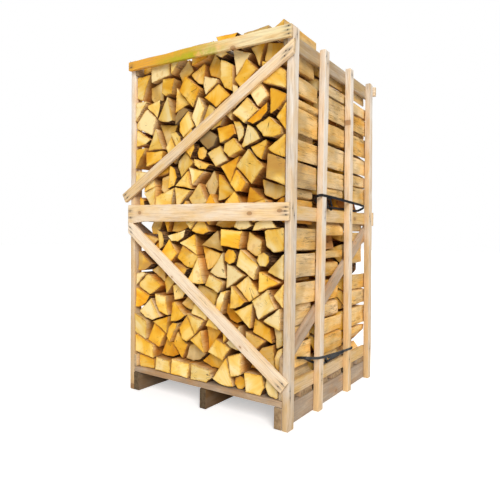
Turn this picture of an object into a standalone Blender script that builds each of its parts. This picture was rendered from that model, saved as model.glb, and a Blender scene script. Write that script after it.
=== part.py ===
"""A crate of split firewood: a pallet with slatted softwood sides, filled with three tiers of logs.

Metres, +Z up. The front, with its two slanting braces, faces -Y, and the fork openings run from
front to back under the deck. The crate is built about the middle of its pallet, then moved so that
the origin is on the floor under the middle of everything that sticks out.
"""

import math
import random

import bmesh
import bpy
import numpy as np
from mathutils import Matrix, Vector
from mathutils.geometry import delaunay_2d_cdt

# ---------------------------------------------------------------- driving dimensions
WIDTH = 1.146            # over the posts, left to right
DEPTH = 1.134            # over the posts, front to back
HEIGHT = 2.000           # floor to the top of the posts on the right
LEFT_RISE = 0.045        # how much taller the left side is
GAP = 0.0003             # between pieces that touch
OUTLINE_MIDDLE = (-0.019, 0.009)   # middle of the outline, seen from the middle of the pallet

POST_THICK = 0.035
POST_WIDE = 0.060
CORNER_POST_WIDE = 0.065
POST_FRONTS = (-DEPTH / 2, -0.220, 0.164, DEPTH / 2 - POST_WIDE)
LEANS = (0.0, -0.004, 0.030, 0.040)  # how far the foot of each right post stands back from plumb
LEAN_PIVOT = 0.920                 # height at which a leaning post is in its place

BOARD_THICK = 0.022
RAIL_HIGH = 0.080
RAIL_TOPS = {"top": 1.986, "middle": 1.137, "bottom": 0.227}
SIDE_BRACE = ((-0.600, 0.2995), (0.640, 1.0745), 0.075)   # foot and head (from front, up), width
TOP_BOARD_HIGH = 0.066
MIDDLE_BOARD_HIGH = 0.095
MIDDLE_BOARD_BASE = 1.050

BEARER_WIDE = 0.045
BEARER_SHIFT = 0.024     # the middle bearer is this far right of the middle
BEARER_HIGH = 0.116
DECK_THICK = 0.032
DECK_BOARDS = 6
DECK_BOARD_WIDE = 0.140

BEVEL = 0.004

TIER_PITCH = 0.374
LOG_LONG = 0.332
LOG_ROOM = 0.535         # logs stay within this distance of the middle plane
RAIL_COLUMNS = 11        # columns at each side of a pile that rails and side braces pass through
SLIDE = 0.034            # logs this near the posts were pushed out against them
PRESS = 0.050            # and this much of their outer side was split flat, against the posts,
OVERHANG = 0.010         # this much above and below the rest of the log at most
SCATTER = 0.013          # how far a log end between two tiers may be from its place
END_PLANE = DEPTH / 2 - 0.0015   # the outer log ends were pushed up to here, against the boards,
END_DEPTH = 0.055                # and the worst of them stayed this far back,
SIDE_SHARE = 0.2                 # or this share of it beside the posts
GAP_DEPTH = 0.012        # depth of the gaps between log ends, behind the deepest end
PILE_MIDDLE = 1.015      # height at which the stacking was left and taken up again
CORNER_WIDE = 0.090      # a hollow was left beside the front left post, between these heights
CORNER_LOW = 0.985
CORNER_HIGH = 1.050
TOP_LOGS = 7             # loose logs kept as pieces of their own on each tier
NOTCH = 0.022            # gaps at the edge of a tier that are wider than this are left open

STRAP_WIDE = 0.012
STRAP_THICK = 0.0014
STRAP_TOPS = ((0.352, 1.200), (0.278, 1.166), (0.282, 1.176))   # of both straps, at each tier

DECK_TOP = BEARER_HIGH + GAP + DECK_THICK
INNER = WIDTH / 2 - POST_THICK

WOOD_PALE = (0.80, 0.62, 0.38)
WOOD_GREY = (0.36, 0.29, 0.22)
WOOD_LOG = (0.78, 0.44, 0.12)
BLACK = (0.012, 0.012, 0.014)


def clear_scene():
    for obj in list(bpy.data.objects):
        bpy.data.objects.remove(obj, do_unlink=True)


def finish(name, color, roughness):
    """A material of the given name, made once."""
    found = bpy.data.materials.get(name)
    if found:
        return found
    material = bpy.data.materials.new(name)
    material.use_nodes = True
    shader = material.node_tree.nodes["Principled BSDF"]
    shader.inputs["Base Color"].default_value = (*color, 1.0)
    shader.inputs["Roughness"].default_value = roughness
    shader.inputs["Metallic"].default_value = 0.0
    return material


def place(name, bm, material, bevel=0.0):
    """Turns a bmesh into a named object, with a Bevel modifier if asked for."""
    mesh = bpy.data.meshes.new(name)
    bmesh.ops.recalc_face_normals(bm, faces=bm.faces)
    bm.to_mesh(mesh)
    bm.free()
    mesh.materials.append(material)
    obj = bpy.data.objects.new(name, mesh)
    bpy.context.scene.collection.objects.link(obj)
    if bevel:
        edge = obj.modifiers.new("arris", "BEVEL")
        edge.width = bevel
        edge.segments = 1
    return obj


# ---------------------------------------------------------------- timber
def timber(name, low, high, material, rise=0.0, lean=0.0):
    """A sawn board or post that fills the box from low to high.

    A board with a rise is higher at its left end. A post with a lean stands back at its foot.
    """
    bm = bmesh.new()
    bmesh.ops.create_cube(bm, size=1.0)
    low, high = Vector(low), Vector(high)
    bmesh.ops.scale(bm, vec=high - low, verts=bm.verts)
    bmesh.ops.translate(bm, vec=(low + high) / 2, verts=bm.verts)
    for v in bm.verts:
        v.co.z += rise * (high.x - v.co.x) / (high.x - low.x)
        v.co.y += lean * (LEAN_PIVOT - v.co.z) / LEAN_PIVOT
    return place(name, bm, material, BEVEL)


def brace(name, start, end, wide, thick, across, material, trims=()):
    """A slanting board from start to end, the two ends of its middle line.

    across is the axis through its thickness. Each trim is a plane (point, outward normal)
    that saws an end off.
    """
    start, end = Vector(start), Vector(end)
    along = (end - start).normalized()
    across = Vector(across)
    up = across.cross(along)
    bm = bmesh.new()
    bmesh.ops.create_cube(bm, size=1.0)
    bmesh.ops.scale(bm, vec=((end - start).length, thick, wide), verts=bm.verts)
    turn = Matrix((along, across, up)).transposed().to_4x4()
    turn.translation = (start + end) / 2
    bmesh.ops.transform(bm, matrix=turn, verts=bm.verts)
    for point, normal in trims:
        geom = bm.verts[:] + bm.edges[:] + bm.faces[:]
        bmesh.ops.bisect_plane(bm, geom=geom, plane_co=point, plane_no=normal, clear_outer=True)
        bmesh.ops.holes_fill(bm, edges=[e for e in bm.edges if e.is_boundary])
    return place(name, bm, material, BEVEL)


def build_pallet(grey):
    half = DEPTH / 2
    outer = INNER - GAP - 0.001
    middle = BEARER_SHIFT - BEARER_WIDE / 2
    for name, x in (("left", -outer), ("middle", middle), ("right", outer - BEARER_WIDE)):
        timber(f"bearer_{name}", (x, -half, 0), (x + BEARER_WIDE, half, BEARER_HIGH), grey)
    pitch = (DEPTH - DECK_BOARD_WIDE) / (DECK_BOARDS - 1)
    for i in range(DECK_BOARDS):
        y = -half + i * pitch
        low = (-outer, y, BEARER_HIGH + GAP)
        timber(f"deck_board_{i + 1}", low, (outer, y + DECK_BOARD_WIDE, DECK_TOP), grey)


def build_sides(pale, grey):
    """Four posts, three rails and a brace on each side. The rails are inside the posts."""
    for side, sign, taller in (("right", 1, 0.0), ("left", -1, LEFT_RISE)):
        for i, y in enumerate(POST_FRONTS):
            wide = CORNER_POST_WIDE if i == 0 else POST_WIDE
            lean = 0.0 if taller else LEANS[i]
            xs = sorted((sign * INNER, sign * WIDTH / 2))
            high = (xs[1], y + wide, HEIGHT + taller)
            timber(f"post_{side}_{i + 1}", (xs[0], y, 0), high, pale, lean=lean)
        outer = INNER - GAP
        xs = sorted((sign * outer, sign * (outer - BOARD_THICK)))
        for level, top in RAIL_TOPS.items():
            top += taller if level == "top" else 0.0
            base = max(top - RAIL_HIGH, DECK_TOP + GAP)
            half = DEPTH / 2 - 0.002
            timber(f"side_rail_{side}_{level}", (xs[0], -half, base), (xs[1], half, top), pale)
        build_side_brace(side, sign, sum(xs) / 2, grey)


def build_side_brace(side, sign, x, grey):
    """Between the bottom and the middle rail, rising to the back on the right side."""
    low = RAIL_TOPS["bottom"] + GAP
    high = RAIL_TOPS["middle"] - RAIL_HIGH - GAP
    foot, head, wide = SIDE_BRACE
    foot, head = Vector((x, sign * foot[0], foot[1])), Vector((x, sign * head[0], head[1]))
    trims = [((0, 0, low), (0, 0, -1)), ((0, 0, high), (0, 0, 1))]
    end = DEPTH / 2 - 0.004
    trims += [((0, -end, 0), (0, -1, 0)), ((0, end, 0), (0, 1, 0))]
    brace(f"side_brace_{side}", foot, head, wide, BOARD_THICK, (1, 0, 0), grey, trims)


def build_face(face, sign, pale):
    """The boards nailed on the front of the posts, or on the back, half a turn round."""
    near = DEPTH / 2 + GAP
    far = near + BOARD_THICK

    def at(x, y, z):
        return Vector((sign * x, sign * y, z))

    def board(name, base, top, rise):
        ys = sorted((-sign * far, -sign * near))
        timber(name, (-half, ys[0], base), (half, ys[1], top), pale, rise=rise)

    half = WIDTH / 2
    board(f"{face}_board_top", HEIGHT - TOP_BOARD_HIGH, HEIGHT, LEFT_RISE)
    board(f"{face}_board_middle", MIDDLE_BOARD_BASE, MIDDLE_BOARD_BASE + MIDDLE_BOARD_HIGH, 0.0)
    middle = -(near + far) / 2
    across = (0, sign, 0)
    reach = {"front": half, "back": half - 0.040}[face]
    foot = {"front": 0.0, "back": 0.077}[face]
    right_cut = (at(half + 0.015, 0, 0), at(1, 0, 0))
    under_top = ((0, 0, HEIGHT - TOP_BOARD_HIGH - GAP), (0, 0, 1))
    start, end = at(-0.612, middle, 1.197), at(0.70, middle, 1.958)
    brace(f"{face}_brace_upper", start.lerp(end, foot), end, 0.063, BOARD_THICK, across, pale,
          [right_cut, under_top])
    left_cut = (at(-reach, 0, 0), at(-1, 0, 0))
    under_middle = ((0, 0, MIDDLE_BOARD_BASE - GAP), (0, 0, 1))
    brace(f"{face}_brace_lower", at(-0.70, middle, 1.117), at(0.560, middle, 0.226), 0.075,
          BOARD_THICK, across, pale, [left_cut, under_middle])


# ---------------------------------------------------------------- how the logs were stacked
STEP = 0.002             # width of the columns in which the height of the pile is kept
UNIT = 1e6               # pile heights are whole micrometres, so that sums are exact
TURNS = 20               # ways round that a log is tried
TRIES = 3                # logs picked up before the best one is laid down


def arc(radius, start, end, steps):
    """Points on a circle about the origin, between two angles."""
    angles = [start + (end - start) * i / steps for i in range(steps + 1)]
    return [(radius * math.cos(a), radius * math.sin(a)) for a in angles]


def split_log(rng):
    """The end outline of one split log, anticlockwise, and which of its edges are bark."""
    kind = rng.random()
    if kind < 0.60:
        wide, high = rng.uniform(0.104, 0.158), rng.uniform(0.078, 0.124)
        slant = rng.uniform(-0.020, 0.020)
        corners = ((-1, -1), (1, -1), (1, 1), (-1, 1))
        points = [(wide * i / 2 + slant * j + rng.uniform(-0.011, 0.011),
                   high * j / 2 + rng.uniform(-0.011, 0.011)) for i, j in corners]
        bark = [False] * 4
        if rng.random() < 0.35:
            here, back, ahead = points[1], points[0], points[2]
            cut, trim = rng.uniform(0.2, 0.4), rng.uniform(0.2, 0.45)
            first = tuple(h + (b - h) * cut for h, b in zip(here, back))
            second = tuple(h + (a - h) * trim for h, a in zip(here, ahead))
            points[1:2] = [first, second]
            bark = [False, True, False, False, False]
    elif kind < 0.81:
        radius, spread = rng.uniform(0.118, 0.168), math.radians(rng.uniform(48, 84))
        points = arc(radius, -spread / 2, spread / 2, 3)
        blunt = rng.uniform(0.0, 0.30)
        ends = (points[3], points[0]) if blunt > 0.12 else (points[3],)
        points += [(x * blunt, y * blunt) for x, y in ends] if blunt > 0.12 else [(0.0, 0.0)]
        bark = [True] * 3 + [False] * (len(points) - 3)
    elif kind < 0.91:
        base, high, lean = rng.uniform(0.118, 0.162), rng.uniform(0.095, 0.130), rng.uniform(-0.3, 0.3)
        points = [(-base / 2, 0.0), (base / 2, 0.0), (lean * base, high)]
        bark = [False] * 3
    elif kind < 0.97:
        radius, flat = rng.uniform(0.060, 0.080), rng.uniform(0.62, 0.95)
        points = [(x, y * flat) for x, y in arc(radius, 0.0, math.pi, 4)]
        bark = [True] * 4 + [False]
    else:
        radius = rng.uniform(0.040, 0.055)
        points = arc(radius, 0.0, 2 * math.pi, 7)[:-1]
        bark = [True] * 7
    middle_x = sum(x for x, _ in points) / len(points)
    middle_z = sum(z for _, z in points) / len(points)
    return [(x - middle_x, z - middle_z) for x, z in points], bark


def turned(points, angle):
    c, s = math.cos(angle), math.sin(angle)
    return [(x * c - z * s, x * s + z * c) for x, z in points]


def profile(points):
    """The lowest and highest level of an outline in each column, and its left end."""
    left = min(x for x, _ in points)
    right = max(x for x, _ in points)
    count = int(math.ceil((right - left) / STEP)) + 1
    columns = left + np.arange(count) * STEP
    low = np.full(count, 10 ** 9, dtype=np.int64)
    high = np.full(count, -10 ** 9, dtype=np.int64)
    for (ax, az), (bx, bz) in zip(points, points[1:] + points[:1]):
        inside = (columns >= min(ax, bx)) & (columns <= max(ax, bx))
        if inside.any() and abs(bx - ax) > 1e-9:
            level = az + (bz - az) * (columns[inside] - ax) / (bx - ax)
            level = np.rint(level * UNIT).astype(np.int64)
            low[inside] = np.minimum(low[inside], level)
            high[inside] = np.maximum(high[inside], level)
        column = int((ax - left) / STEP)
        corner = int(round(az * UNIT))
        for k in (column, min(column + 1, count - 1)):
            low[k] = min(low[k], corner)
            high[k] = max(high[k], corner)
    return left, low, high


def rails_beside(tier):
    """The heights, left and right, where a rail or a side brace keeps the logs of a tier in."""
    bands = [(top - RAIL_HIGH, top) for top in RAIL_TOPS.values()]
    left, right = list(bands), list(bands)
    left[0] = (bands[0][0] + LEFT_RISE, bands[0][1] + LEFT_RISE)
    right += list(zip((RAIL_TOPS["bottom"], RAIL_TOPS["middle"]), STRAP_TOPS[tier]))
    foot, head, wide = SIDE_BRACE
    steep = (head[1] - foot[1]) / (head[0] - foot[0])
    for sign, side in ((-1, left), (1, right)):
        ends = [foot[1] + (sign * tier_middle(tier) + d - foot[0]) * steep for d in (-0.190, 0.190)]
        margin = wide / 2 * math.hypot(1.0, steep)
        side.append((min(ends) - margin, max(ends) + margin))
    clear = 0.003
    return [[(int((low - clear) * UNIT), int((high + clear) * UNIT)) for low, high in side]
            for side in (left, right)]


def kept_in(lift, low, high, bands):
    """Which of the first columns a log can't start in, because a rail or brace is in its way."""
    shut = np.zeros(len(lift), dtype=bool)
    lowest, highest = np.minimum.accumulate(low), np.maximum.accumulate(high)
    for column in range(min(RAIL_COLUMNS, len(lift))):
        last = min(RAIL_COLUMNS - column, len(low) - 1)
        bottom, top = lift[column] + lowest[last], lift[column] + highest[last]
        shut[column] = any(bottom < band[1] and top > band[0] for band in bands)
    return shut


def lay(pile, log, limit, bands):
    """The best place on the pile for a log: (cost, column, lift, outline, profile), or None."""
    best = None
    points, start = log
    for turn in range(TURNS):
        outline = turned(points, start + 2 * math.pi * turn / TURNS)
        left, low, high = profile(outline)
        reach = len(low)
        under = np.minimum(low, np.minimum(np.r_[low[1:], low[-1:]], np.r_[low[:1], low[:-1]]))
        below = np.lib.stride_tricks.sliding_window_view(pile, reach)
        lift = (below - under).max(axis=1)
        void = lift[:, None] + under - below
        half = reach // 2
        rock = void[:, :half].min(axis=1) + void[:, half:].min(axis=1)
        hollow = np.minimum(void, 100000).sum(axis=1) // reach
        cost = lift - int(high.max() - low.min()) // 5 + hollow + rock * 8 // 5
        shut = kept_in(lift, low, high, bands[0])
        shut |= kept_in(lift[::-1], low[::-1], high[::-1], bands[1])[::-1]
        cost = np.where(shut | (lift + int(high.max()) > limit[:len(lift)]), 10 ** 9, cost)
        column = int(np.argmin(cost))
        if best is None or cost[column] < best[0]:
            best = (int(cost[column]), column, int(lift[column]), outline, (left, low, high))
    return best


def bridged(pile, span):
    """The pile with its hollows narrower than span bridged over."""
    reach = int(span / STEP)
    padded = np.pad(pile, reach, constant_values=int(pile.max()))
    window = np.lib.stride_tricks.sliding_window_view
    raised = window(padded, reach).max(axis=1)
    return window(raised, reach).min(axis=1)[1:len(pile) + 1]


def pass_rails(pile, bands):
    """Fills the outer columns up to the pile beside them, where that is level with a rail."""
    for side, ranges in ((pile, bands[0]), (pile[::-1], bands[1])):
        beside = side[RAIL_COLUMNS]
        for low, high in ranges:
            if beside > low:
                side[:RAIL_COLUMNS] = np.maximum(side[:RAIL_COLUMNS], min(beside, high))


def stack_logs(seed, tops, tier):
    """Lays logs one by one where they sit lowest and steadiest, until they reach the tops, which
    are heights at even steps across the crate. Returns (outline, bark) pairs.
    """
    rng = random.Random(seed)
    bands = rails_beside(tier)
    count = int(round(2 * LOG_ROOM / STEP))
    pile = np.full(count, int(round((DECK_TOP + GAP) * UNIT)), dtype=np.int64)
    gap = int(0.001 * UNIT)
    logs = []
    half = np.full(count, int(round(PILE_MIDDLE * UNIT)), dtype=np.int64)
    corner = int(CORNER_WIDE / STEP) if tier == 0 else 0
    half[:corner] = int(round(CORNER_LOW * UNIT))
    steps = np.linspace(0, count - 1, len(tops))
    full = np.rint(np.interp(np.arange(count), steps, tops) * UNIT).astype(np.int64)
    for limit, last in ((half, False), (full, True)):
        misses = 0
        while misses < 6:
            picked = []
            for _ in range(TRIES):
                points, bark = split_log(rng)
                start = rng.uniform(0, math.pi)
                picked.append((lay(pile, (points, start), limit, bands), bark))
            place_, bark = min(picked, key=lambda item: item[0][0])
            cost, column, lift, outline, (left, low, high) = place_
            if cost >= 10 ** 9:
                misses += 1
                continue
            shift = column * STEP - LOG_ROOM - left
            rise = (lift + gap) / UNIT
            logs.append(([(x + shift, z + rise) for x, z in outline], bark))
            here = slice(column, column + len(low))
            pile[here] = np.maximum(pile[here], lift + high + gap)
            pass_rails(pile, bands)
        if not last:
            pile = bridged(pile, 0.110)
            pile[:corner] = np.maximum(pile[:corner], int(round(CORNER_HIGH * UNIT)))
    for sign, side in ((-1, bands[0]), (1, bands[1])):
        for move in (slide_out, press_out):
            for i in sorted(range(len(logs)), key=lambda i: -max(sign * x for x, _ in logs[i][0])):
                move(logs, i, sign, side)
    return logs


def apart(first, second):
    """Whether two outlines are clear of each other: some edge has the other outline beyond it."""
    for one, other in ((first, second), (second, first)):
        for (ax, az), (bx, bz) in zip(one, one[1:] + one[:1]):
            if all((bx - ax) * (z - az) <= (bz - az) * (x - ax) for x, z in other):
                return True
    return False


def blocked(outline, sign, bands):
    """Whether a rail or brace is in the way of the part of an outline that is level with it."""
    edge = INNER - BOARD_THICK - 0.003
    beyond = [z for x, z in outline if sign * x > edge]
    for (ax, az), (bx, bz) in zip(outline, outline[1:] + outline[:1]):
        if (sign * ax > edge) != (sign * bx > edge):
            beyond.append(az + (bz - az) * (sign * edge - ax) / (bx - ax))
    if not beyond:
        return False
    return any(min(beyond) * UNIT < high and max(beyond) * UNIT > low for low, high in bands)


def neighbours(logs, i, sign):
    """The outlines of the other logs at the same side of the pile."""
    return [outline for j, (outline, _) in enumerate(logs) if j != i
            and max(sign * x for x, _ in outline) > LOG_ROOM - 0.200]


def slide_out(logs, i, sign, bands):
    """Slides a log at the side of the pile out to the posts, as far as nothing is in its way."""
    outline, bark = logs[i]
    free = LOG_ROOM - max(sign * x for x, _ in outline)
    others = neighbours(logs, i, sign)
    for step in range(int(free / STEP), 0, -1) if free < SLIDE else ():
        moved = [(x + sign * step * STEP, z) for x, z in outline]
        if not blocked(moved, sign, bands) and all(apart(moved, other) for other in others):
            logs[i] = (moved, bark)
            return


def turns_left(outline):
    """Whether an anticlockwise outline has no hollow corner."""
    count = len(outline)
    for k in range(count):
        (ax, az), (bx, bz), (cx, cz) = (outline[(k + n) % count] for n in range(3))
        if (bx - ax) * (cz - bz) - (bz - az) * (cx - bx) < 1e-6:
            return False
    return True


def press_out(logs, i, sign, bands):
    """Gives a log at the side of the pile a flat outer side, as high as its neighbours allow."""
    outline, bark = logs[i]
    count = len(outline)
    if max(sign * x for x, _ in outline) < LOG_ROOM - PRESS + 0.006:
        return
    kept = [sign * x < LOG_ROOM - PRESS for x, _ in outline]
    first = next((k for k in range(count) if kept[k] and not kept[k - 1]), None)
    if first is None:
        return
    order = [(first + k) % count for k in range(count) if kept[(first + k) % count]]
    outer = [outline[k][1] for k in range(count) if not kept[k]]
    middle = sum(outer) / len(outer)
    lowest = max(DECK_TOP + GAP, min(z for _, z in outline) - OVERHANG)
    highest = max(z for _, z in outline) + OVERHANG
    others = neighbours(logs, i, sign)
    best = None
    for wall in (LOG_ROOM, INNER - BOARD_THICK - 0.004):
        for down in range(0, 10):
            for rise in range(0, 10):
                low, high = max(middle - 0.008 * down, lowest), min(middle + 0.008 * rise, highest)
                ends = [(sign * wall, low), (sign * wall, high)]
                if high - low < 0.020 or best and high - low <= best[0]:
                    continue
                pressed = [outline[k] for k in order] + (ends if sign > 0 else ends[::-1])
                if (turns_left(pressed) and not blocked(pressed, sign, bands)
                        and all(apart(pressed, other) for other in others)):
                    best = (high - low, pressed)
        if best:
            break
    if best:
        logs[i] = (best[1], [bark[k] for k in order[:-1]] + [False] * 3)


# ---------------------------------------------------------------- the logs as solids
class Log:
    """One log of a tier: its end outline in X and Z, its bark edges and where its ends are in Y."""

    def __init__(self, outline, bark, front, back):
        self.outline, self.bark, self.front, self.back = outline, bark, front, back
        self.left = min(x for x, _ in outline)
        self.right = max(x for x, _ in outline)
        self.top = max(z for _, z in outline)


def tier_middle(tier):
    return (tier - 1) * TIER_PITCH


def tier_logs(tier, seed, tops):
    """The logs of tier 0, 1 or 2, from the front. Most outer ends are level with the posts."""
    rng = random.Random(seed + 100)
    middle = tier_middle(tier)
    logs = []
    for outline, bark in stack_logs(seed, tops, tier):
        recess = END_DEPTH * rng.random() ** 2
        if max(abs(x) for x, _ in outline) > LOG_ROOM - 0.010:
            recess *= SIDE_SHARE
        front = middle - LOG_LONG / 2 + rng.uniform(-SCATTER, SCATTER)
        back = middle + LOG_LONG / 2 + rng.uniform(-SCATTER, SCATTER)
        if tier == 0:
            front = recess - END_PLANE
        if tier == 2:
            back = END_PLANE - recess
        logs.append(Log(outline, bark, front, back))
    return logs


def top_course(logs):
    """The highest logs with nothing laid on them, up to TOP_LOGS of them."""
    free = []
    for i, log in enumerate(logs):
        if not any(other.left < log.right and other.right > log.left for other in logs[i + 1:]):
            free.append(log)
    free.sort(key=lambda log: -log.top)
    return free[:TOP_LOGS]


def end_view(logs, loose):
    """The end view of a tier cut into triangles.

    Gives the corners, the triangles, the log that each triangle is in (None in a gap), and the
    corners that belong to the loose logs or to a ring of points around the pile.
    """
    corners = [Vector(p) for log in logs for p in log.outline]
    inner = len(corners)
    corners += [Vector(p) for log in loose for p in log.outline]
    faces, first = [], 0
    for log in logs + loose:
        faces.append(list(range(first, first + len(log.outline))))
        first += len(log.outline)
    margin, spacing = 0.03, 0.04
    low = Vector((-LOG_ROOM - margin, min(p.y for p in corners) - margin))
    high = Vector((LOG_ROOM + margin, max(p.y for p in corners) + margin))
    size = high - low
    across, up = int(size.x / spacing), int(size.y / spacing)
    for i in range(across):
        step = size.x * i / across
        corners += [Vector((low.x + step, low.y)), Vector((high.x - step, high.y))]
    for i in range(up):
        step = size.y * i / up
        corners += [Vector((high.x, low.y + step)), Vector((low.x, high.y - step))]
    points, _, triangles, origins, _, owners = delaunay_2d_cdt(corners, [], faces, 0, 1e-6, True)
    outer = {i for i, source in enumerate(origins) if min(source) >= inner}
    return points, triangles, [min(o) if o else None for o in owners], outer


def edges_of(triangle):
    a, b, c = triangle
    return [(frozenset((a, b)), c), (frozenset((b, c)), a), (frozenset((c, a)), b)]


def keep_fans(kept, triangles, outer):
    """Adds triangles where those kept meet only in a point, so that the solid stays sound."""
    around = {}
    for i, triangle in enumerate(triangles):
        for v in triangle:
            around.setdefault(v, []).append(i)
    changed = True
    while changed:
        changed = False
        for v, ring in around.items():
            mine = [i for i in ring if i in kept]
            if v in outer or len(mine) in (0, len(ring)):
                continue
            fan, queue = {mine[0]}, [mine[0]]
            while queue:
                here = set(triangles[queue.pop()])
                for j in mine:
                    if j not in fan and len(here & set(triangles[j])) == 2:
                        fan.add(j)
                        queue.append(j)
            if len(fan) < len(mine):
                spare = [i for i in ring if i not in kept and not outer & set(triangles[i])]
                kept.update(spare or ring)
                changed = True


def open_notches(kept, points, triangles, owners):
    """Takes out gaps at the edge of the pile, from the outside in, while they are wider than NOTCH."""
    changed = True
    while changed:
        sides = {}
        for i in sorted(kept):
            for edge, opposite in edges_of(triangles[i]):
                sides.setdefault(edge, []).append((i, opposite))
        rim = {edge: uses[0] for edge, uses in sides.items() if len(uses) == 1}
        rim_points = {v for edge in rim for v in edge}
        wide = []
        for edge, (i, opposite) in rim.items():
            a, b = sorted(edge)
            length = (points[a] - points[b]).length
            if length > NOTCH and owners[i] is None and opposite not in rim_points:
                wide.append((length, a, i))
        changed = bool(wide)
        if wide:
            kept.remove(max(wide)[2])


def stack_solid(name, logs, loose, tier, material):
    """A tier as one solid. On its outer side each log end stands out from the gaps by its own amount."""
    points, triangles, owners, outer = end_view(logs, loose)
    kept = {i for i, t in enumerate(triangles) if not outer & set(t)}
    keep_fans(kept, triangles, outer)
    open_notches(kept, points, triangles, owners)
    outward = {0: -1, 1: 0, 2: 1}[tier]
    middle = tier_middle(tier)
    inner_y = middle - (outward or -1) * LOG_LONG / 2
    sheet_y = middle - LOG_LONG / 2
    if outward:
        sheet_y = outward * (END_PLANE - END_DEPTH - GAP_DEPTH)
    bm = bmesh.new()
    verts, cells, sheet = {}, {}, []
    for i in sorted(kept):
        for v in triangles[i]:
            if v not in verts:
                verts[v] = bm.verts.new((points[v].x, sheet_y, points[v].y))
        face = bm.faces.new([verts[v] for v in triangles[i]])
        sheet.append(face)
        if owners[i] is not None:
            cells.setdefault(owners[i], []).append(face)
    grow(bm, sheet, inner_y - sheet_y)
    for owner, faces in cells.items() if outward else ():
        end = logs[owner].front if outward < 0 else logs[owner].back
        grow(bm, faces, end - sheet_y)
        bmesh.ops.delete(bm, geom=faces, context="FACES")
    for y in (inner_y,) if outward else (inner_y, sheet_y):
        flat = [v for v in bm.verts if abs(v.co.y - y) < 1e-6]
        edges = [e for e in bm.edges if all(abs(v.co.y - y) < 1e-6 for v in e.verts)]
        bmesh.ops.dissolve_limit(bm, angle_limit=0.01, verts=flat, edges=edges)
    return place(name, bm, material)


def grow(bm, faces, distance):
    """Extrudes faces along Y."""
    grown = bmesh.ops.extrude_face_region(bm, geom=faces)["geom"]
    moved = [g for g in grown if isinstance(g, bmesh.types.BMVert)]
    bmesh.ops.translate(bm, vec=(0, distance, 0), verts=moved)


def loose_log(name, log, material):
    """One log of the top course."""
    bm = bmesh.new()
    face = bm.faces.new([bm.verts.new((x, log.front, z)) for x, z in log.outline])
    grow(bm, [face], log.back - log.front)
    return place(name, bm, material)


TIERS = (
    ("front", 57, (2.035, 2.020, 2.035, 2.050, 2.050, 2.050, 2.055, 2.065, 2.055)),
    ("middle", 13, (1.990, 2.000, 2.010, 2.010, 2.000)),
    ("back", 9, (1.990, 1.990, 2.000, 2.000, 1.990)),
)


def build_logs(material):
    for tier, (name, seed, tops) in enumerate(TIERS):
        logs = tier_logs(tier, seed, tops)
        loose = top_course(logs)
        fixed = [log for log in logs if log not in loose]
        stack_solid(f"log_stack_{name}", fixed, loose, tier, material)
        for i, log in enumerate(sorted(loose, key=lambda log: log.left)):
            loose_log(f"top_log_{name}_{i + 1}", log, material)


# ---------------------------------------------------------------- straps
def strap(name, route, material):
    """A flat band, its width upright, along a closed route of middle points."""
    points = closed_curve([Vector(p) for p in route], 2)
    bm = bmesh.new()
    rings = []
    count = len(points)
    for i, p in enumerate(points):
        along = (points[(i + 1) % count] - points[i - 1]).normalized()
        side = along.cross(Vector((0, 0, 1))).normalized() * STRAP_THICK / 2
        up = Vector((0, 0, STRAP_WIDE / 2))
        corners = (-side - up, side - up, side + up, up - side)
        rings.append([bm.verts.new(p + corner) for corner in corners])
    for i in range(count):
        here, there = rings[i], rings[(i + 1) % count]
        for k in range(4):
            bm.faces.new((here[k], here[(k + 1) % 4], there[(k + 1) % 4], there[k]))
    return place(name, bm, material)


def closed_curve(points, steps):
    """Points on a smooth closed curve through the given ones."""
    out = []
    n = len(points)
    for i in range(n):
        a, b, c, d = (points[(i + k) % n] for k in (-1, 0, 1, 2))
        for s in range(steps):
            t = s / steps
            out.append(0.5 * (2 * b + (c - a) * t + (2 * a - 5 * b + 4 * c - d) * t * t
                              + (3 * b - a - 3 * c + d) * t ** 3))
    return out


def build_straps(black):
    out = WIDTH / 2 + GAP + STRAP_THICK
    inn = INNER - 0.010
    rest = STRAP_WIDE / 2 + 0.004
    z = RAIL_TOPS["middle"] + rest
    upper = [(out, -0.200, 1.203), (out, -0.08, 1.200), (out, 0.08, 1.193), (out, 0.24, 1.186),
             (out - 0.001, 0.36, 1.180), (out - 0.012, 0.430, 1.172), (inn + 0.006, 0.448, 1.160),
             (inn, 0.38, z), (inn, 0.24, z), (inn, 0.08, z), (inn, -0.08, z), (inn, -0.17, z + 0.012),
             (inn, -0.226, z + 0.036), (inn + 0.012, -0.242, 1.190), (out - 0.012, -0.243, 1.200),
             (out, -0.230, 1.203)]
    strap("strap_upper", upper, black)
    z = RAIL_TOPS["bottom"] + rest
    lower = [(out, -0.215, 0.304), (out, -0.08, 0.292), (out, 0.08, 0.280), (out, 0.205, 0.273),
             (out, 0.250, 0.271), (out - 0.012, 0.263, 0.268), (inn + 0.012, 0.263, 0.262),
             (inn, 0.247, 0.256), (inn, 0.15, z + 0.004), (inn, 0.04, z), (inn, -0.08, z),
             (inn, -0.20, z + 0.030), (inn, -0.32, z + 0.080), (inn + 0.006, -0.410, 0.338),
             (out - 0.010, -0.418, 0.345), (out, -0.35, 0.330)]
    strap("strap_lower", lower, black)


def centre_on_outline():
    """A brace sticks out on the left and two posts lean back, so the outline's middle is off."""
    for obj in bpy.data.objects:
        obj.location = (-OUTLINE_MIDDLE[0], -OUTLINE_MIDDLE[1], 0.0)


def main():
    clear_scene()
    pale = finish("softwood", WOOD_PALE, 0.75)
    grey = finish("weathered_softwood", WOOD_GREY, 0.85)
    log = finish("split_hardwood", WOOD_LOG, 0.80)
    black = finish("strapping", BLACK, 0.45)
    build_pallet(grey)
    build_sides(pale, grey)
    build_face("front", 1, pale)
    build_face("back", -1, pale)
    build_logs(log)
    build_straps(black)
    centre_on_outline()


main()
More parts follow.
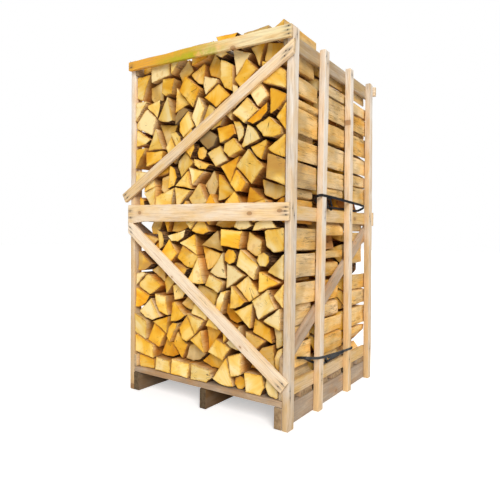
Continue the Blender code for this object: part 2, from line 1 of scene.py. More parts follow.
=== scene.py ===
# %% [markdown]
# # A crate of firewood
# The crate is a pallet with eight posts, rails and slanting braces of sawn softwood, filled with
# three tiers of split logs. Its solids already give every place and size. This script dresses them:
# each board gets worn arrises, knots, nails and stains, each log becomes a split log with a sawn
# end, and the straps get their real thin band. We could paint the plain solids, but a crate like
# this is all edges, ends and gaps, so nearly every piece is modelled again in its own place.

import math
import random

import bmesh
import bpy
import numpy as np
from mathutils import Matrix, Vector, noise


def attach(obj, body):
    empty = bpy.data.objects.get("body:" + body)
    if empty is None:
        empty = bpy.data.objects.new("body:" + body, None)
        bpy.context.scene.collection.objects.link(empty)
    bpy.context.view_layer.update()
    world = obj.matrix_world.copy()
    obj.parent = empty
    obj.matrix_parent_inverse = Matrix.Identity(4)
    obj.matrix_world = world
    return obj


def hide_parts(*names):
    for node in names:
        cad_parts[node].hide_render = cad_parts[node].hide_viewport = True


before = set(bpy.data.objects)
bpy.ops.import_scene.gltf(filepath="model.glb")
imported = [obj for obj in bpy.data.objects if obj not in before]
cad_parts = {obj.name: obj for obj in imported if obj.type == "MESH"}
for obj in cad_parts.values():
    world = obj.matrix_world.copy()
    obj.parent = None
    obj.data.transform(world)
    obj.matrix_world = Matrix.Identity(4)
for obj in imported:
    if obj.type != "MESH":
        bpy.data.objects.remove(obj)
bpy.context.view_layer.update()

# %% [markdown]
# ## The crate's measures
# A carpenter works from a cutting list, and so does this script. The numbers are the ones that the
# solids were built from, so every new piece lands on its solid. The crate is measured from the
# middle of its pallet, and PLACE moves finished pieces to where the solids are.

# %% The cutting list
WIDTH, DEPTH, HEIGHT = 1.146, 1.134, 2.000
LEFT_RISE = 0.045
GAP = 0.0003
POST_THICK, POST_WIDE, CORNER_POST_WIDE = 0.035, 0.060, 0.065
POST_FRONTS = (-DEPTH / 2, -0.220, 0.164, DEPTH / 2 - POST_WIDE)
LEANS, LEAN_PIVOT = (0.0, -0.004, 0.030, 0.040), 0.920
BOARD_THICK, RAIL_HIGH = 0.022, 0.080
RAIL_TOPS = {"top": 1.986, "middle": 1.137, "bottom": 0.227}
SIDE_BRACE = ((-0.600, 0.2995), (0.640, 1.0745), 0.075)
TOP_BOARD_HIGH, MIDDLE_BOARD_HIGH, MIDDLE_BOARD_BASE = 0.066, 0.095, 1.050
BEARER_WIDE, BEARER_SHIFT, BEARER_HIGH, DECK_THICK = 0.045, 0.024, 0.116, 0.032
DECK_BOARDS, DECK_BOARD_WIDE = 6, 0.140
DECK_TOP = BEARER_HIGH + GAP + DECK_THICK
INNER = WIDTH / 2 - POST_THICK
PLACE = Vector((0.019, -0.009, 0.0))
print("inside width between the posts:", round(2 * INNER, 3), "m")

# %% [markdown]
# ## Placing a finished mesh
# Each piece is made in a bmesh and then becomes one object at the origin with its place in its
# mesh, because patterns are read from object coordinates. Edges sharper than about 35 degrees stay
# crisp, and all the others are shaded smooth.

# %% From a bmesh to a piece of the crate
SHARP = 0.62             # an angle in radians: edges that turn more than this are shaded crisp


def settle(name, bm, materials, sharp=SHARP):
    """Turns a bmesh into a named piece of the crate and moves it to its solid's place."""
    bmesh.ops.translate(bm, vec=PLACE, verts=bm.verts)
    for face in bm.faces:
        face.smooth = True
    for edge in bm.edges:
        edge.smooth = edge.calc_face_angle(0.0) < sharp
    mesh = bpy.data.meshes.new(name)
    bm.to_mesh(mesh)
    bm.free()
    for material in materials:
        mesh.materials.append(material)
    piece = bpy.data.objects.new(name, mesh)
    bpy.context.scene.collection.objects.link(piece)
    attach(piece, "root")
    return piece

# %% [markdown]
# ## Sums on surfaces
# A material is a tree of nodes, and a tree built node by node in code soon gets long. With Value, a
# sum such as streak * 0.5 + grit adds its own nodes, so that a material below reads like a recipe.

# %% Values that vary over a surface
class Value:
    """A number, colour or vector that varies over a surface. A sum on it adds a node."""

    def __init__(self, socket):
        self.socket = socket

    def __mul__(self, other):
        return sum_of("MULTIPLY", self, other)

    def __truediv__(self, other):
        return sum_of("DIVIDE", self, other)

    def __rtruediv__(self, other):
        return sum_of("DIVIDE", other, self)

    def __add__(self, other):
        return sum_of("ADD", self, other)

    def __sub__(self, other):
        return sum_of("SUBTRACT", self, other)

    def __rsub__(self, other):
        return sum_of("SUBTRACT", other, self)

    def __abs__(self):
        return sum_of("ABSOLUTE", self)


class Outputs:
    """What comes out of a node, as values, by name or number."""

    def __init__(self, node):
        self.node = node

    def __getitem__(self, key):
        return Value(self.node.outputs[key])


def put(value, socket):
    """Links a value to a socket, or sets a plain number, colour or vector there."""
    if isinstance(value, Value):
        socket.id_data.links.new(value.socket, socket)
    elif socket.type == "RGBA" and len(value) == 3:
        socket.default_value = (*value, 1.0)
    else:
        socket.default_value = value


def tree_of(*values):
    """The node tree that the first value with a socket is in."""
    return next(value.socket.id_data for value in values if isinstance(value, Value))


def add(tree, kind, inputs=None, **settings):
    """A node of this kind, with its settings and inputs. Gives its outputs."""
    made = tree.nodes.new("ShaderNode" + kind)
    for key, value in settings.items():
        setattr(made, key, value)
    for key, value in (inputs or {}).items():
        put(value, made.inputs[key])
    return Outputs(made)


# %% The sums themselves
def is_vector(value):
    return isinstance(value, tuple) or isinstance(value, Value) and value.socket.type == "VECTOR"


def sum_of(operation, a, b=0.0):
    """One sum on numbers, or on vectors when either side is one."""
    if is_vector(a) or is_vector(b):
        return add(tree_of(a, b), "VectorMath", {0: a, 1: b}, operation=operation)["Vector"]
    return add(tree_of(a, b), "Math", {0: a, 1: b}, operation=operation)[0]


def length(vector):
    return add(tree_of(vector), "VectorMath", {0: vector}, operation="LENGTH")["Value"]


def clamp(value):
    return add(tree_of(value), "Math", {0: value, 1: 0.0}, operation="ADD", use_clamp=True)[0]


def band(value, low, high, to_low=0.0, to_high=1.0):
    """The value mapped from low..high, smoothly and without going past the ends."""
    inputs = {0: value, 1: low, 2: high, 3: to_low, 4: to_high}
    return add(tree_of(value), "MapRange", inputs, interpolation_type="SMOOTHSTEP")[0]


def thin_lines(wave, width):
    """Lines where a wave crosses its middle."""
    return band(abs(wave - 0.5), 0.0, width, 1.0, 0.0)


# %% Patterns and colours
def cloud(vector, scale, detail=2.0, roughness=0.5, distortion=0.0):
    inputs = {"Vector": vector, "Scale": scale, "Detail": detail, "Roughness": roughness,
              "Distortion": distortion}
    return add(tree_of(vector), "TexNoise", inputs)[0]


def object_place(tree):
    return add(tree, "TexCoord")["Object"]


def parts_of(vector):
    return add(tree_of(vector), "SeparateXYZ", {"Vector": vector})


def blend(factor, a, b, mode="MIX"):
    """Colour b laid over colour a, by a factor."""
    inputs = {0: factor, 6: a, 7: b}
    return add(tree_of(factor, a, b), "Mix", inputs, data_type="RGBA", blend_type=mode)[2]


def lit(colour, bright):
    """A colour made brighter or darker by a value."""
    grey = add(tree_of(bright), "CombineColor", {0: bright, 1: bright, 2: bright})[0]
    return blend(1.0, colour, grey, "MULTIPLY")


def ramp(value, first, last, between):
    """Colours along a value from 0 to 1, with others at stops in between."""
    made = add(tree_of(value), "ValToRGB", {"Fac": value})
    stops = made.node.color_ramp.elements
    stops[0].color, stops[1].color = (*first, 1), (*last, 1)
    for stop, shade in between.items():
        stops.new(stop).color = (*shade, 1)
    return made[0]


# %% Node groups, and the start and end of a material
def start_group(name, takes, gives):
    """A new node group, and what it takes as values. takes maps a socket's name to its default: a
    number, a colour, or None for a vector. gives names what comes out, numbers except Color.
    """
    tree = bpy.data.node_groups.new(name, "ShaderNodeTree")
    for socket_name, default in takes.items():
        kind = "Vector" if default is None else "Color" if isinstance(default, tuple) else "Float"
        socket = tree.interface.new_socket(socket_name, in_out="INPUT",
                                           socket_type="NodeSocket" + kind)
        if default is not None:
            socket.default_value = default
    for socket_name in gives:
        kind = "Color" if socket_name == "Color" else "Float"
        tree.interface.new_socket(socket_name, in_out="OUTPUT", socket_type="NodeSocket" + kind)
    tree.nodes.new("NodeGroupOutput").name = "end"
    return tree, Outputs(tree.nodes.new("NodeGroupInput"))


def finish_group(tree, **given):
    for name, value in given.items():
        put(value, tree.nodes["end"].inputs[name])


def use_group(tree, group, **inputs):
    """Places a group in a material and gives its outputs."""
    named = {key.replace("_", " "): value for key, value in inputs.items()}
    return add(tree, "Group", named, node_tree=group)


def start_material(name):
    material = bpy.data.materials.new(name)
    material.use_nodes = True
    return material, material.node_tree


def attribute(tree, name, output="Vector"):
    return add(tree, "Attribute", attribute_name=name)[output]


def wood_values(tree):
    """Every piece of wood carries its grain coordinate, and its tone as three numbers."""
    tone = add(tree, "SeparateColor", {"Color": attribute(tree, "tone", "Color")})
    return attribute(tree, "grain"), tone


def surface(tree, colour, roughness, gloss, bump, metal=0.0):
    """Feeds a material's shader. bump is a strength, a depth in metres and a height."""
    shader = tree.nodes["Principled BSDF"]
    bump = add(tree, "Bump", dict(zip(("Strength", "Distance", "Height"), bump)))[0]
    for name, value in (("Base Color", colour), ("Roughness", roughness), ("Metallic", metal),
                        ("Specular IOR Level", gloss), ("Normal", bump)):
        put(value, shader.inputs[name])

# %% [markdown]
# ## What every wood surface here shares
# Fibres run along a board or a log, growth rings lie about the heart of the tree, and years
# outdoors turn wood grey. Each of these is a node group, built once. They all read the same
# "grain" coordinate: X across, Y along the fibres and Z through the wood, counted in metres from
# the heart of the tree that the piece was cut from.

# %% Fibres: long streaks and fine hairs along the grain
fibre_group, taken = start_group("Wood fibres", {"Grain": None, "Scale": 90.0, "Stretch": 16.0},
                                 ("Streak", "Hair", "Height"))
squeeze = add(fibre_group, "CombineXYZ", {"X": 1.0, "Z": 1.0, "Y": 1.0 / taken["Stretch"]})[0]
along = taken["Grain"] * squeeze
streak = cloud(along, taken["Scale"], 4.0, 0.6, 0.4)
hair = cloud(along, taken["Scale"] * 5.5, 3.0, 0.65)
finish_group(fibre_group, Streak=streak, Hair=hair, Height=hair * 0.35 + streak * 0.65)

# %% Growth rings: thin dark summer lines about the heart
ring_group, taken = start_group("Growth rings", {"Grain": None, "Ring width": 0.0032,
                                "Waver": 0.008}, ("Line", "Radius"))
waver = cloud(taken["Grain"] * (14.0, 1.6, 14.0), 1.0)
radius = waver * taken["Waver"] + length(taken["Grain"] * (1.0, 0.0, 1.0))
line = band(sum_of("FRACT", radius / taken["Ring width"]), 0.35, 1.0)
uneven = cloud(add(ring_group, "CombineXYZ", {"X": radius})[0], 180.0)
line = line * band(uneven, 0.3, 0.7, 0.35, 1.0)
finish_group(ring_group, Line=line, Radius=radius)

# %% Weathering: wood that has stood outdoors turns silver grey in streaks
grey_group, taken = start_group(
    "Weathering", {"Color": (0.8, 0.6, 0.4, 1.0), "Amount": 0.3, "Streak": 0.5,
                   "Grey": (0.34, 0.29, 0.245, 1.0)}, ("Color", "Mask"))
mask = cloud(object_place(grey_group), 7.0, 3.0, 0.6) + taken["Streak"] * 0.7
edge = 1.35 - taken["Amount"] * 1.2
mask = band(mask, edge - 0.32, edge) * (taken["Amount"] * 0.7 + 0.25)
finish_group(grey_group, Color=blend(mask, taken["Color"], taken["Grey"]), Mask=mask)

# %% [markdown]
# Wood deep in the load gets painted shade, darker and more orange, for the shaded gaps between the
# logs, while wood near the outside keeps its colour. This group tells the two apart by how far a
# point is behind the open sides.

# %% Painted shade, deep in the load
painted_shade_group, _ = start_group("Painted shade deep in the load", {}, ("Mask",))
point = parts_of(object_place(painted_shade_group))
behind = band(abs(point[1]), 0.570, 0.524)
beside = band(abs(point[0]), 0.520, 0.480)
under = band(point[2], 2.00, 1.90)
finish_group(painted_shade_group, Mask=behind * (beside * under))


def painted_depth_shade(tree, colour, share, dust):
    """Gives wood painted shade, multiplied by the colour dust, by how deep in the load it is."""
    return blend(use_group(tree, painted_shade_group)["Mask"] * share, colour, dust, "MULTIPLY")

# %% [markdown]
# Branches leave knots in sawn timber: brown ovals with a dark rim, scattered along the board. A
# Voronoi pattern gives scattered centres, and only some of its cells are let through.

# %% Knots: brown ovals scattered along a board
knot_group, taken = start_group("Knots", {"Grain": None, "Share": 0.35, "Size": 0.011},
                                ("Heart", "Rim", "Swirl"))
KNOTS_ACROSS, KNOTS_ALONG, KNOT_LONG = 9.0, 5.2, 0.62
cells = taken["Grain"] * (KNOTS_ACROSS, KNOTS_ALONG, 0.0)
voronoi = add(knot_group, "TexVoronoi", {"Vector": cells, "Scale": 1.0, "Randomness": 0.9},
              voronoi_dimensions="2D")
away = (cells - voronoi["Position"]) * (1 / KNOTS_ACROSS, KNOT_LONG / KNOTS_ALONG, 0.0)
pick = add(knot_group, "SeparateColor", {"Color": voronoi["Color"]})
chosen = band(pick[0], 1.0 - taken["Share"], 1.02 - taken["Share"])
near = length(away) / (taken["Size"] * (pick[1] + 0.45))
near = cloud(taken["Grain"], 240.0) * 0.25 + near
finish_group(knot_group, Heart=band(near, 0.75, 1.15, 1.0, 0.0) * chosen,
             Rim=band(abs(near - 1.05), 0.0, 0.24, 1.0, 0.0) * chosen,
             Swirl=band(near, 1.0, 3.4, 1.0, 0.0) * chosen)
print("node groups:", [group.name for group in bpy.data.node_groups])

# %% [markdown]
# ## Sawn softwood
# The boards are cheap spruce: cream to honey, with fine brown ring lines, small knots, and grey
# where rain reached them. One recipe makes all of them. Each board carries its own "tone"
# (brightness, warmth, weathering) as an attribute, so boards differ although they share a recipe.

# %% The recipe for sawn softwood
def sawn_softwood(name, pale, honey, grey, worn, rough=0.72, moss=False, painted_side_shade=False):
    material, tree = start_material(name)
    grain, tone = wood_values(tree)
    fibres = use_group(tree, fibre_group, Grain=grain, Scale=120.0, Stretch=22.0)
    knots = use_group(tree, knot_group, Grain=grain, Share=0.24, Size=0.0085)
    rings = use_group(tree, ring_group, Grain=grain, Ring_width=0.0042, Waver=0.016)
    place = object_place(tree)
    warmth = tone[1] + band(cloud(grain * (15.0, 4.0, 15.0), 1.0, 3.0, 0.6), 0.3, 0.7, -0.38, 0.40)
    # The narrow sides of the inner posts get painted shade.
    if painted_side_shade:
        warmth = warmth + painted_shade_between_posts(tree, place)
    colour = blend(clamp(warmth), pale, honey)
    colour = blend(rings["Line"] * 0.40, colour, (0.50, 0.25, 0.09))
    colour = blend(band(fibres["Streak"], 0.50, 0.76, 0.0, 0.58), colour, (0.46, 0.26, 0.11))
    colour = blend(knots["Swirl"] * 0.38, colour, (0.62, 0.33, 0.13))
    colour = blend(knots["Heart"] * 0.85, colour, (0.42, 0.22, 0.09))
    colour = blend(knots["Rim"] * 0.6, colour, (0.20, 0.10, 0.04))
    if moss:
        colour = moss_patch(colour, place, fibres["Streak"])
    colour = use_group(tree, grey_group, Color=colour, Amount=tone[2], Grey=grey,
                       Streak=fibres["Streak"])["Color"]
    crack = drying_cracks(grain, tone[2] * 0.5 + worn)
    colour = blend(crack * 0.8, colour, (0.07, 0.045, 0.03))
    stain = attribute(tree, "stain", "Fac") * band(fibres["Hair"], 0.30, 0.62, 0.45, 1.0)
    colour = blend(stain * 0.85, colour, (0.075, 0.062, 0.055))
    colour = lit(colour, tone[0] * band(fibres["Hair"], 0.25, 0.75, 1.82, 2.10))
    height = fibres["Height"] * 0.8 + rings["Line"] * -0.12
    height = height + crack * -1.2 + knots["Rim"] * -0.35
    surface(tree, colour, band(fibres["Streak"], 0.2, 0.8, rough - 0.08, rough + 0.12), 0.28,
            (0.55, 0.0012, height))
    return material


def painted_shade_between_posts(tree, place):
    """Faces that look along the crate, between two slats, get painted shade: they turn towards
    honey brown.
    """
    normal = parts_of(add(tree, "TexCoord")["Normal"])[1]
    inner = band(abs(parts_of(place)[1]), 0.56, 0.54, 0.0, 0.34)
    return band(abs(normal), 0.5, 0.8) * inner


def moss_patch(colour, place, streak):
    """Green algae that grew along the middle of the top board."""
    across = parts_of(place)
    left = band(across[0], -0.42, -0.10)
    right = band(across[0], 0.06, 0.24, 1.0, 0.0)
    line = across[0] * (LEFT_RISE / WIDTH) + across[2]
    top = HEIGHT + LEFT_RISE / 2
    low = band(line, top - 0.022, top - 0.052)
    patches = band(cloud(place, 11.0, 4.0, 0.65), 0.30, 0.54)
    amount = left * right * (patches * (low * 0.60 + 0.40)) * band(streak, 0.25, 0.6, 0.8, 1.0)
    return blend(amount * 0.95, colour, (0.44, 0.45, 0.012))


def drying_cracks(grain, amount):
    """Thin dark cracks that open along the fibres as a board dries. Amount is how many, 0 to 1."""
    wave = cloud(grain * (34.0, 1.5, 34.0), 1.0, 3.0, 0.6)
    where = cloud(grain * (12.0, 2.0, 12.0), 1.0, 1.0)
    gate = 0.80 - amount * 0.40
    return thin_lines(wave, 0.007) * band(where, gate, gate + 0.05)


# %% Sawn softwood in the crate's finishes
pale_timber = sawn_softwood("pale softwood", (0.91, 0.75, 0.56), (0.88, 0.57, 0.21),
                            (0.52, 0.43, 0.36), worn=0.22)
post_timber = sawn_softwood("post softwood", (0.93, 0.85, 0.74), (0.88, 0.60, 0.30),
                            (0.52, 0.45, 0.39), worn=0.25, painted_side_shade=True)
mossy_timber = sawn_softwood("softwood with algae", (0.93, 0.80, 0.48), (0.86, 0.42, 0.045),
                             (0.40, 0.31, 0.22), worn=0.25, moss=True)
grey_timber = sawn_softwood("weathered softwood", (0.64, 0.49, 0.34), (0.46, 0.23, 0.07),
                            (0.34, 0.29, 0.245), worn=0.25, rough=0.82)

# %% [markdown]
# A sawn end shows the rings as arcs and drinks up dirt, so it is darker and rougher than the
# faces. The same ring group draws the arcs, because on an end face the grain coordinate cuts
# straight across the tree.

# %% End grain of the boards
def end_grain(name, light, dark):
    material, tree = start_material(name)
    grain, tone = wood_values(tree)
    rings = use_group(tree, ring_group, Grain=grain, Ring_width=0.0042, Waver=0.010)
    grit = cloud(grain, 420.0, 3.0, 0.7)
    colour = blend(band(cloud(grain, 60.0, 3.0), 0.35, 0.75), light, dark)
    colour = blend(rings["Line"] * 0.5, colour, (0.30, 0.16, 0.07))
    colour = lit(colour, tone[0] * band(grit, 0.2, 0.8, 1.6, 2.1))
    surface(tree, colour, 0.88, 0.2, (0.6, 0.0008, rings["Line"] * -0.4 + grit))
    return material


board_end = end_grain("softwood end grain", (0.80, 0.60, 0.36), (0.50, 0.36, 0.22))
grey_end = end_grain("weathered end grain", (0.52, 0.36, 0.20), (0.30, 0.19, 0.10))
print("timber finishes:", [look.name for look in (pale_timber, post_timber, mossy_timber,
                                                  grey_timber, board_end, grey_end)])

# %% [markdown]
# ## A board
# A sawn board starts as a cube scaled to its section. Planes saw its ends, the arrises are bevelled
# because fresh sharp edges never last on a crate, and a little noise along the length makes the
# bow and the wandering edges that real boards have. Cuts round each nail give the mesh enough
# points there to carry a rusty stain as an attribute.

# %% Where a point is on a board
class Board:
    """One board: its middle line from start to end, its size and the axis through its thickness."""

    def __init__(self, start, end, wide, thick, across):
        self.start, self.end = Vector(start), Vector(end)
        self.wide, self.thick = wide, thick
        self.along = (self.end - self.start).normalized()
        self.across = Vector(across)
        self.up = self.across.cross(self.along)
        self.length = (self.end - self.start).length

    def local(self, point):
        """(up the width, along, through the thickness), from the start of the middle line."""
        rel = point - self.start
        return rel.dot(self.up), rel.dot(self.along), rel.dot(self.across)

    def turn(self):
        matrix = Matrix((self.along, self.across, self.up)).transposed().to_4x4()
        matrix.translation = (self.start + self.end) / 2
        return matrix


nails = []


def nail(point, normal):
    """Notes a nail head for later, and returns its place for the stain."""
    nails.append((Vector(point), Vector(normal)))
    return Vector(point)


# %% Saw and bevel one board
CRISP = 0.6              # an angle in radians: edges that turn more than this are bevelled


def soften(bm, geom, offset, segments, affect="EDGES"):
    bmesh.ops.bevel(bm, geom=geom, offset=offset, segments=segments, profile=0.5, affect=affect,
                    material=-1, offset_type="OFFSET", clamp_overlap=True)


def cut(bm, point, normal, away=False):
    """Cuts right across with a plane, and takes away what is beyond it or keeps both sides."""
    bmesh.ops.bisect_plane(bm, geom=bm.verts[:] + bm.edges[:] + bm.faces[:], plane_co=point,
                           plane_no=normal, clear_outer=away)


def make_board(name, board, tone, materials, trims=(), nailed=(), arris=0.0030, top_arris=0.0,
               shape=None, skew=None):
    """Makes a board that stands for the solid of the same name. shape(s, w) moves points up."""
    rng = random.Random(name)
    bm = bmesh.new()
    bmesh.ops.create_cube(bm, size=1.0)
    bmesh.ops.scale(bm, vec=(board.length, board.thick, board.wide), verts=bm.verts)
    bmesh.ops.transform(bm, matrix=board.turn(), verts=bm.verts)
    if skew:
        for v in bm.verts:
            v.co += skew(v.co)
    for point, normal in trims:
        cut(bm, point, normal, away=True)
        bmesh.ops.holes_fill(bm, edges=[e for e in bm.edges if e.is_boundary])
    if top_arris:
        soften(bm, [e for e in bm.edges if min(v.co.z for v in e.verts) > HEIGHT - 0.02],
               top_arris, 3)
    bm.normal_update()
    soften(bm, [e for e in bm.edges if e.calc_face_angle(0.0) > CRISP], arris, 2)
    slice_board(bm, board, nailed)
    dress_board(bm, board, rng, tone, nailed, shape)
    piece = settle(name + "_timber", bm, materials)
    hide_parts(name)


SLICE = 0.045            # room between plain cuts across
ROUND_NAIL = (0.0, 0.006, 0.015, 0.03, 0.05)             # cuts across, on both sides of a nail
BESIDE_NAIL = (0.0, 0.004, 0.009)                        # and cuts along the board beside it


def slice_board(bm, board, nailed):
    """Cuts across at even steps and closely round the nails, and along the faces for the stains."""
    count = int(board.length / SLICE + 1)
    stops = {round(board.length * i / count, 4) for i in range(1, count)}
    sides = {-board.wide / 4, 0.0, board.wide / 4}
    for point in nailed:
        w, s, _ = board.local(point)
        stops |= {round(s + sign * step, 4) for step in ROUND_NAIL for sign in (-1, 1)}
        sides |= {round(w + sign * step, 4) for step in BESIDE_NAIL for sign in (-1, 1)}
    for s in sorted(stops):
        if 0.001 < s < board.length - 0.001:
            cut(bm, board.start + board.along * s, board.along)
    for w in sorted(sides):
        if abs(w) < board.wide / 2 - 0.002:
            cut(bm, board.start + board.up * w, board.up)


# %% Weather one board
def dress_board(bm, board, rng, tone, nailed, shape):
    """Bows the board, gives it its grain, tone and stain, and marks its end grain."""
    grain = bm.verts.layers.float_vector.new("grain")
    shade = bm.verts.layers.float_color.new("tone")
    stain = bm.verts.layers.float.new("stain")
    heart = Vector((rng.uniform(-0.04, 0.04), rng.uniform(0, 50), rng.uniform(0.02, 0.09)))
    seed = Vector((rng.uniform(0, 100), rng.uniform(0, 100), rng.uniform(0, 100)))
    bm.normal_update()
    for face in bm.faces:
        face.material_index = int(abs(face.normal.dot(board.along)) > 0.72)
    for v in bm.verts:
        w, s, t = board.local(v.co)
        v[grain] = Vector((w + heart.x, s + heart.y, t + heart.z))
        v[shade] = (*tone_at(tone, s / board.length), 1.0)
        v[stain] = near_nails(board, nailed, w, s, t, 0.0055, 0.024)
        edge = abs(2 * w / board.wide) ** 2
        wander = noise.noise(Vector((s * 5.0, w * 20, 0)) + seed) * 0.0016 - 0.0026
        ragged = noise.noise(Vector((s * 38.0, w * 60, t * 60)) + seed) * 0.0005
        held = max(0.0, 1 - abs(2 * s / board.length - 1) ** 4)
        bow = noise.noise(Vector((s * 1.1, 3.0, 0)) + seed) * 0.0008 * held
        v.co += board.up * ((wander * edge + ragged) * (1 if w > 0 else -1) + bow)
        dent = 0.0024 * near_nails(board, nailed, w, s, t, 0.0050, 0.0060)
        v.co -= board.across * math.copysign(dent, t)
        if shape:
            v.co += board.up * shape(s, w)


def tone_at(tone, share):
    """A tone is three values, or two sets of them, for the start and the end of a board."""
    if isinstance(tone[0], float):
        return tone
    share = max(0.0, min(1.0, share))
    return [a + (b - a) * share for a, b in zip(*tone)]


def near_nails(board, nailed, w, s, t, wide, long):
    """1 at a nail, falling off across and along the board: for rust, and for hammer dents."""
    most = 0.0
    for point in nailed:
        nail_w, nail_s, nail_t = board.local(point)
        if abs(t - nail_t) < 0.010:
            most = max(most, math.exp(-((w - nail_w) / wide) ** 2 - ((s - nail_s) / long) ** 2))
    return most

# %% [markdown]
# ## The pallet
# Three bearers on edge with six boards across them. They are the oldest wood here, so they get the
# weathered recipe. The space between the bearers stays open for the forks of a truck.

# %% Bearers and deck boards
grey_looks = [grey_timber, grey_end]
outer = INNER - GAP - 0.001
BEARERS = {"left": (BEARER_WIDE / 2 - outer, (0.16, 0.62, 0.20)),
           "middle": (BEARER_SHIFT, (0.13, 1.00, 0.04)),
           "right": (outer - BEARER_WIDE / 2, (0.42, 0.16, 0.38))}
for side, (x, tone) in BEARERS.items():
    beam = Board((x, -DEPTH / 2, BEARER_HIGH / 2), (x, DEPTH / 2, BEARER_HIGH / 2), BEARER_HIGH,
                 BEARER_WIDE, (1, 0, 0))
    make_board(f"bearer_{side}", beam, tone, grey_looks)
pitch = (DEPTH - DECK_BOARD_WIDE) / (DECK_BOARDS - 1)
z = BEARER_HIGH + GAP + DECK_THICK / 2
for i in range(DECK_BOARDS):
    y = -DEPTH / 2 + i * pitch + DECK_BOARD_WIDE / 2
    plank = Board((-outer, y, z), (outer, y, z), DECK_BOARD_WIDE, DECK_THICK, (0, 0, 1))
    make_board(f"deck_board_{i + 1}", plank, (0.43, 0.42, 0.26 + 0.02 * i), grey_looks)
print("pallet:", BEARER_HIGH, "m of room for forks,", DECK_BOARDS, "deck boards")

# %% [markdown]
# ## Posts and rails
# The posts stand outside the rails, and a nail or two at each crossing has bled rust and tannin
# down the post. Two posts on the right were nailed on out of plumb, which leaning() repeats.

# %% Nails through a board
def nail_row(board, places, side, skew=None):
    """Nails at (along, up) places, on the face towards side, +1 or -1. Gives their points."""
    points = []
    for s, w in places:
        point = board.start + board.along * s + board.up * w + board.across * side * board.thick / 2
        point += skew(point) if skew else Vector()
        points.append(nail(point, board.across * side))
    return points


def leaning(lean):
    return lambda p: Vector((0, lean * (LEAN_PIVOT - p.z) / LEAN_PIVOT, 0))


# %% Posts
POST_TONES = {
    "right_1": ((0.385, 0.66, 0.18), (0.495, 0.16, 0.16)),
    "right_2": ((0.440, 0.52, 0.10), (0.480, 0.00, 0.10)),
    "right_3": ((0.440, 0.92, 0.08), (0.490, -0.16, 0.08)),
    "right_4": ((0.415, 0.85, 0.12), (0.440, 0.16, 0.12)),
    "left_1": ((0.335, 1.20, 0.10), (0.525, 0.26, 0.10)),
    "left_2": (0.44, 0.50, 0.18), "left_3": (0.45, 0.40, 0.15), "left_4": (0.44, 0.45, 0.22)}
RAIL_TONES = {"top": (0.29, 0.45, 0.15), "middle": ((0.43, 0.68, 0.08), (0.415, 1.05, 0.08)),
              "bottom": (0.40, 0.80, 0.08)}
SIDES = (("right", 1, 0.0), ("left", -1, LEFT_RISE))      # name, way out, and how much taller
pale_looks = [pale_timber, board_end]


def rail_tops(taller):
    """The tops of the three rails of a side. Only the highest follows the taller posts."""
    return {level: top + (taller if level == "top" else 0.0) for level, top in RAIL_TOPS.items()}


for side, sign, taller in SIDES:
    for i, y in enumerate(POST_FRONTS):
        name = f"{side}_{i + 1}"
        wide = POST_WIDE if i else CORNER_POST_WIDE
        x, y = sign * (INNER + POST_THICK / 2), y + wide / 2
        post = Board((x, y, 0), (x, y, HEIGHT + taller), wide, POST_THICK, (sign, 0, 0))
        skew = None if taller else leaning(LEANS[i])
        rng = random.Random(name)
        places = [(top - RAIL_HIGH * share, rng.uniform(-0.012, 0.012))
                  for top in rail_tops(taller).values() for share in (0.28, 0.72)]
        make_board(f"post_{name}", post, POST_TONES[name], [post_timber, board_end],
                   nailed=nail_row(post, places, 1, skew), arris=0.0032, top_arris=0.007, skew=skew)
print("posts:", len(POST_TONES), "nails so far:", len(nails))

# %% Rails and side braces
for side, sign, taller in SIDES:
    x = sign * (INNER - GAP - BOARD_THICK / 2)
    half = DEPTH / 2 - 0.002
    for level, top in rail_tops(taller).items():
        base = max(top - RAIL_HIGH, DECK_TOP + GAP)
        z = (base + top) / 2
        rail = Board((x, -half, z), (x, half, z), top - base, BOARD_THICK, (sign, 0, 0))
        make_board(f"side_rail_{side}_{level}", rail, RAIL_TONES[level], pale_looks)
    foot, head, wide = SIDE_BRACE
    foot, head = (x, sign * foot[0], foot[1]), (x, sign * head[0], head[1])
    low, high = RAIL_TOPS["bottom"] + GAP, RAIL_TOPS["middle"] - RAIL_HIGH - GAP
    end = DEPTH / 2 - 0.004
    trims = [((0, 0, low), (0, 0, -1)), ((0, 0, high), (0, 0, 1)),
             ((0, -end, 0), (0, -1, 0)), ((0, end, 0), (0, 1, 0))]
    make_board(f"side_brace_{side}", Board(foot, head, wide, BOARD_THICK, (1, 0, 0)),
               (0.54, 0.50, 0.38), grey_looks, trims)
print("rails and side braces made")

# %% [markdown]
# ## Front and back
# Two boards and two slanting braces are nailed on each face. The front top board grew green algae,
# and the middle board still has a wavering edge from the outside of the tree, wider at its left
# end.

# %% The measures and tones of one face
UPPER_BRACE = ((-0.612, 1.197), (0.70, 1.958), 0.063)    # foot, head and width
LOWER_BRACE = ((-0.70, 1.117), (0.560, 0.226), 0.075)    # head, foot and width
FACE_TONES = {"board_top": ((0.50, 1.45, 0.10), (0.53, 0.06, 0.06)),
              "board_middle": ((0.495, 0.40, 0.08), (0.56, 0.28, 0.05)),
              "brace_upper": ((0.455, 0.60, 0.22), (0.575, 0.22, 0.07)),
              "brace_lower": (0.525, 0.04, 0.05)}
END_NAILS = [(0.018, 0.018), (0.022, -0.016), (WIDTH - 0.017, 0.021), (WIDTH - 0.022, 0.002),
             (WIDTH - 0.016, -0.017)]


def waney(s, w):
    """The middle board widens towards its left end, above and below."""
    rise = 0.013 * (1 - s / WIDTH) if w > 0 else 0.0
    flare = -0.012 * math.exp(-(s / 0.07) ** 2) if w < 0 else 0.0
    wander = 0.0022 * noise.noise(Vector((s * 9.0, 0, 4.0))) if w < 0 else 0.0
    return (rise + flare + wander) * min(1.0, abs(w) / 0.04)


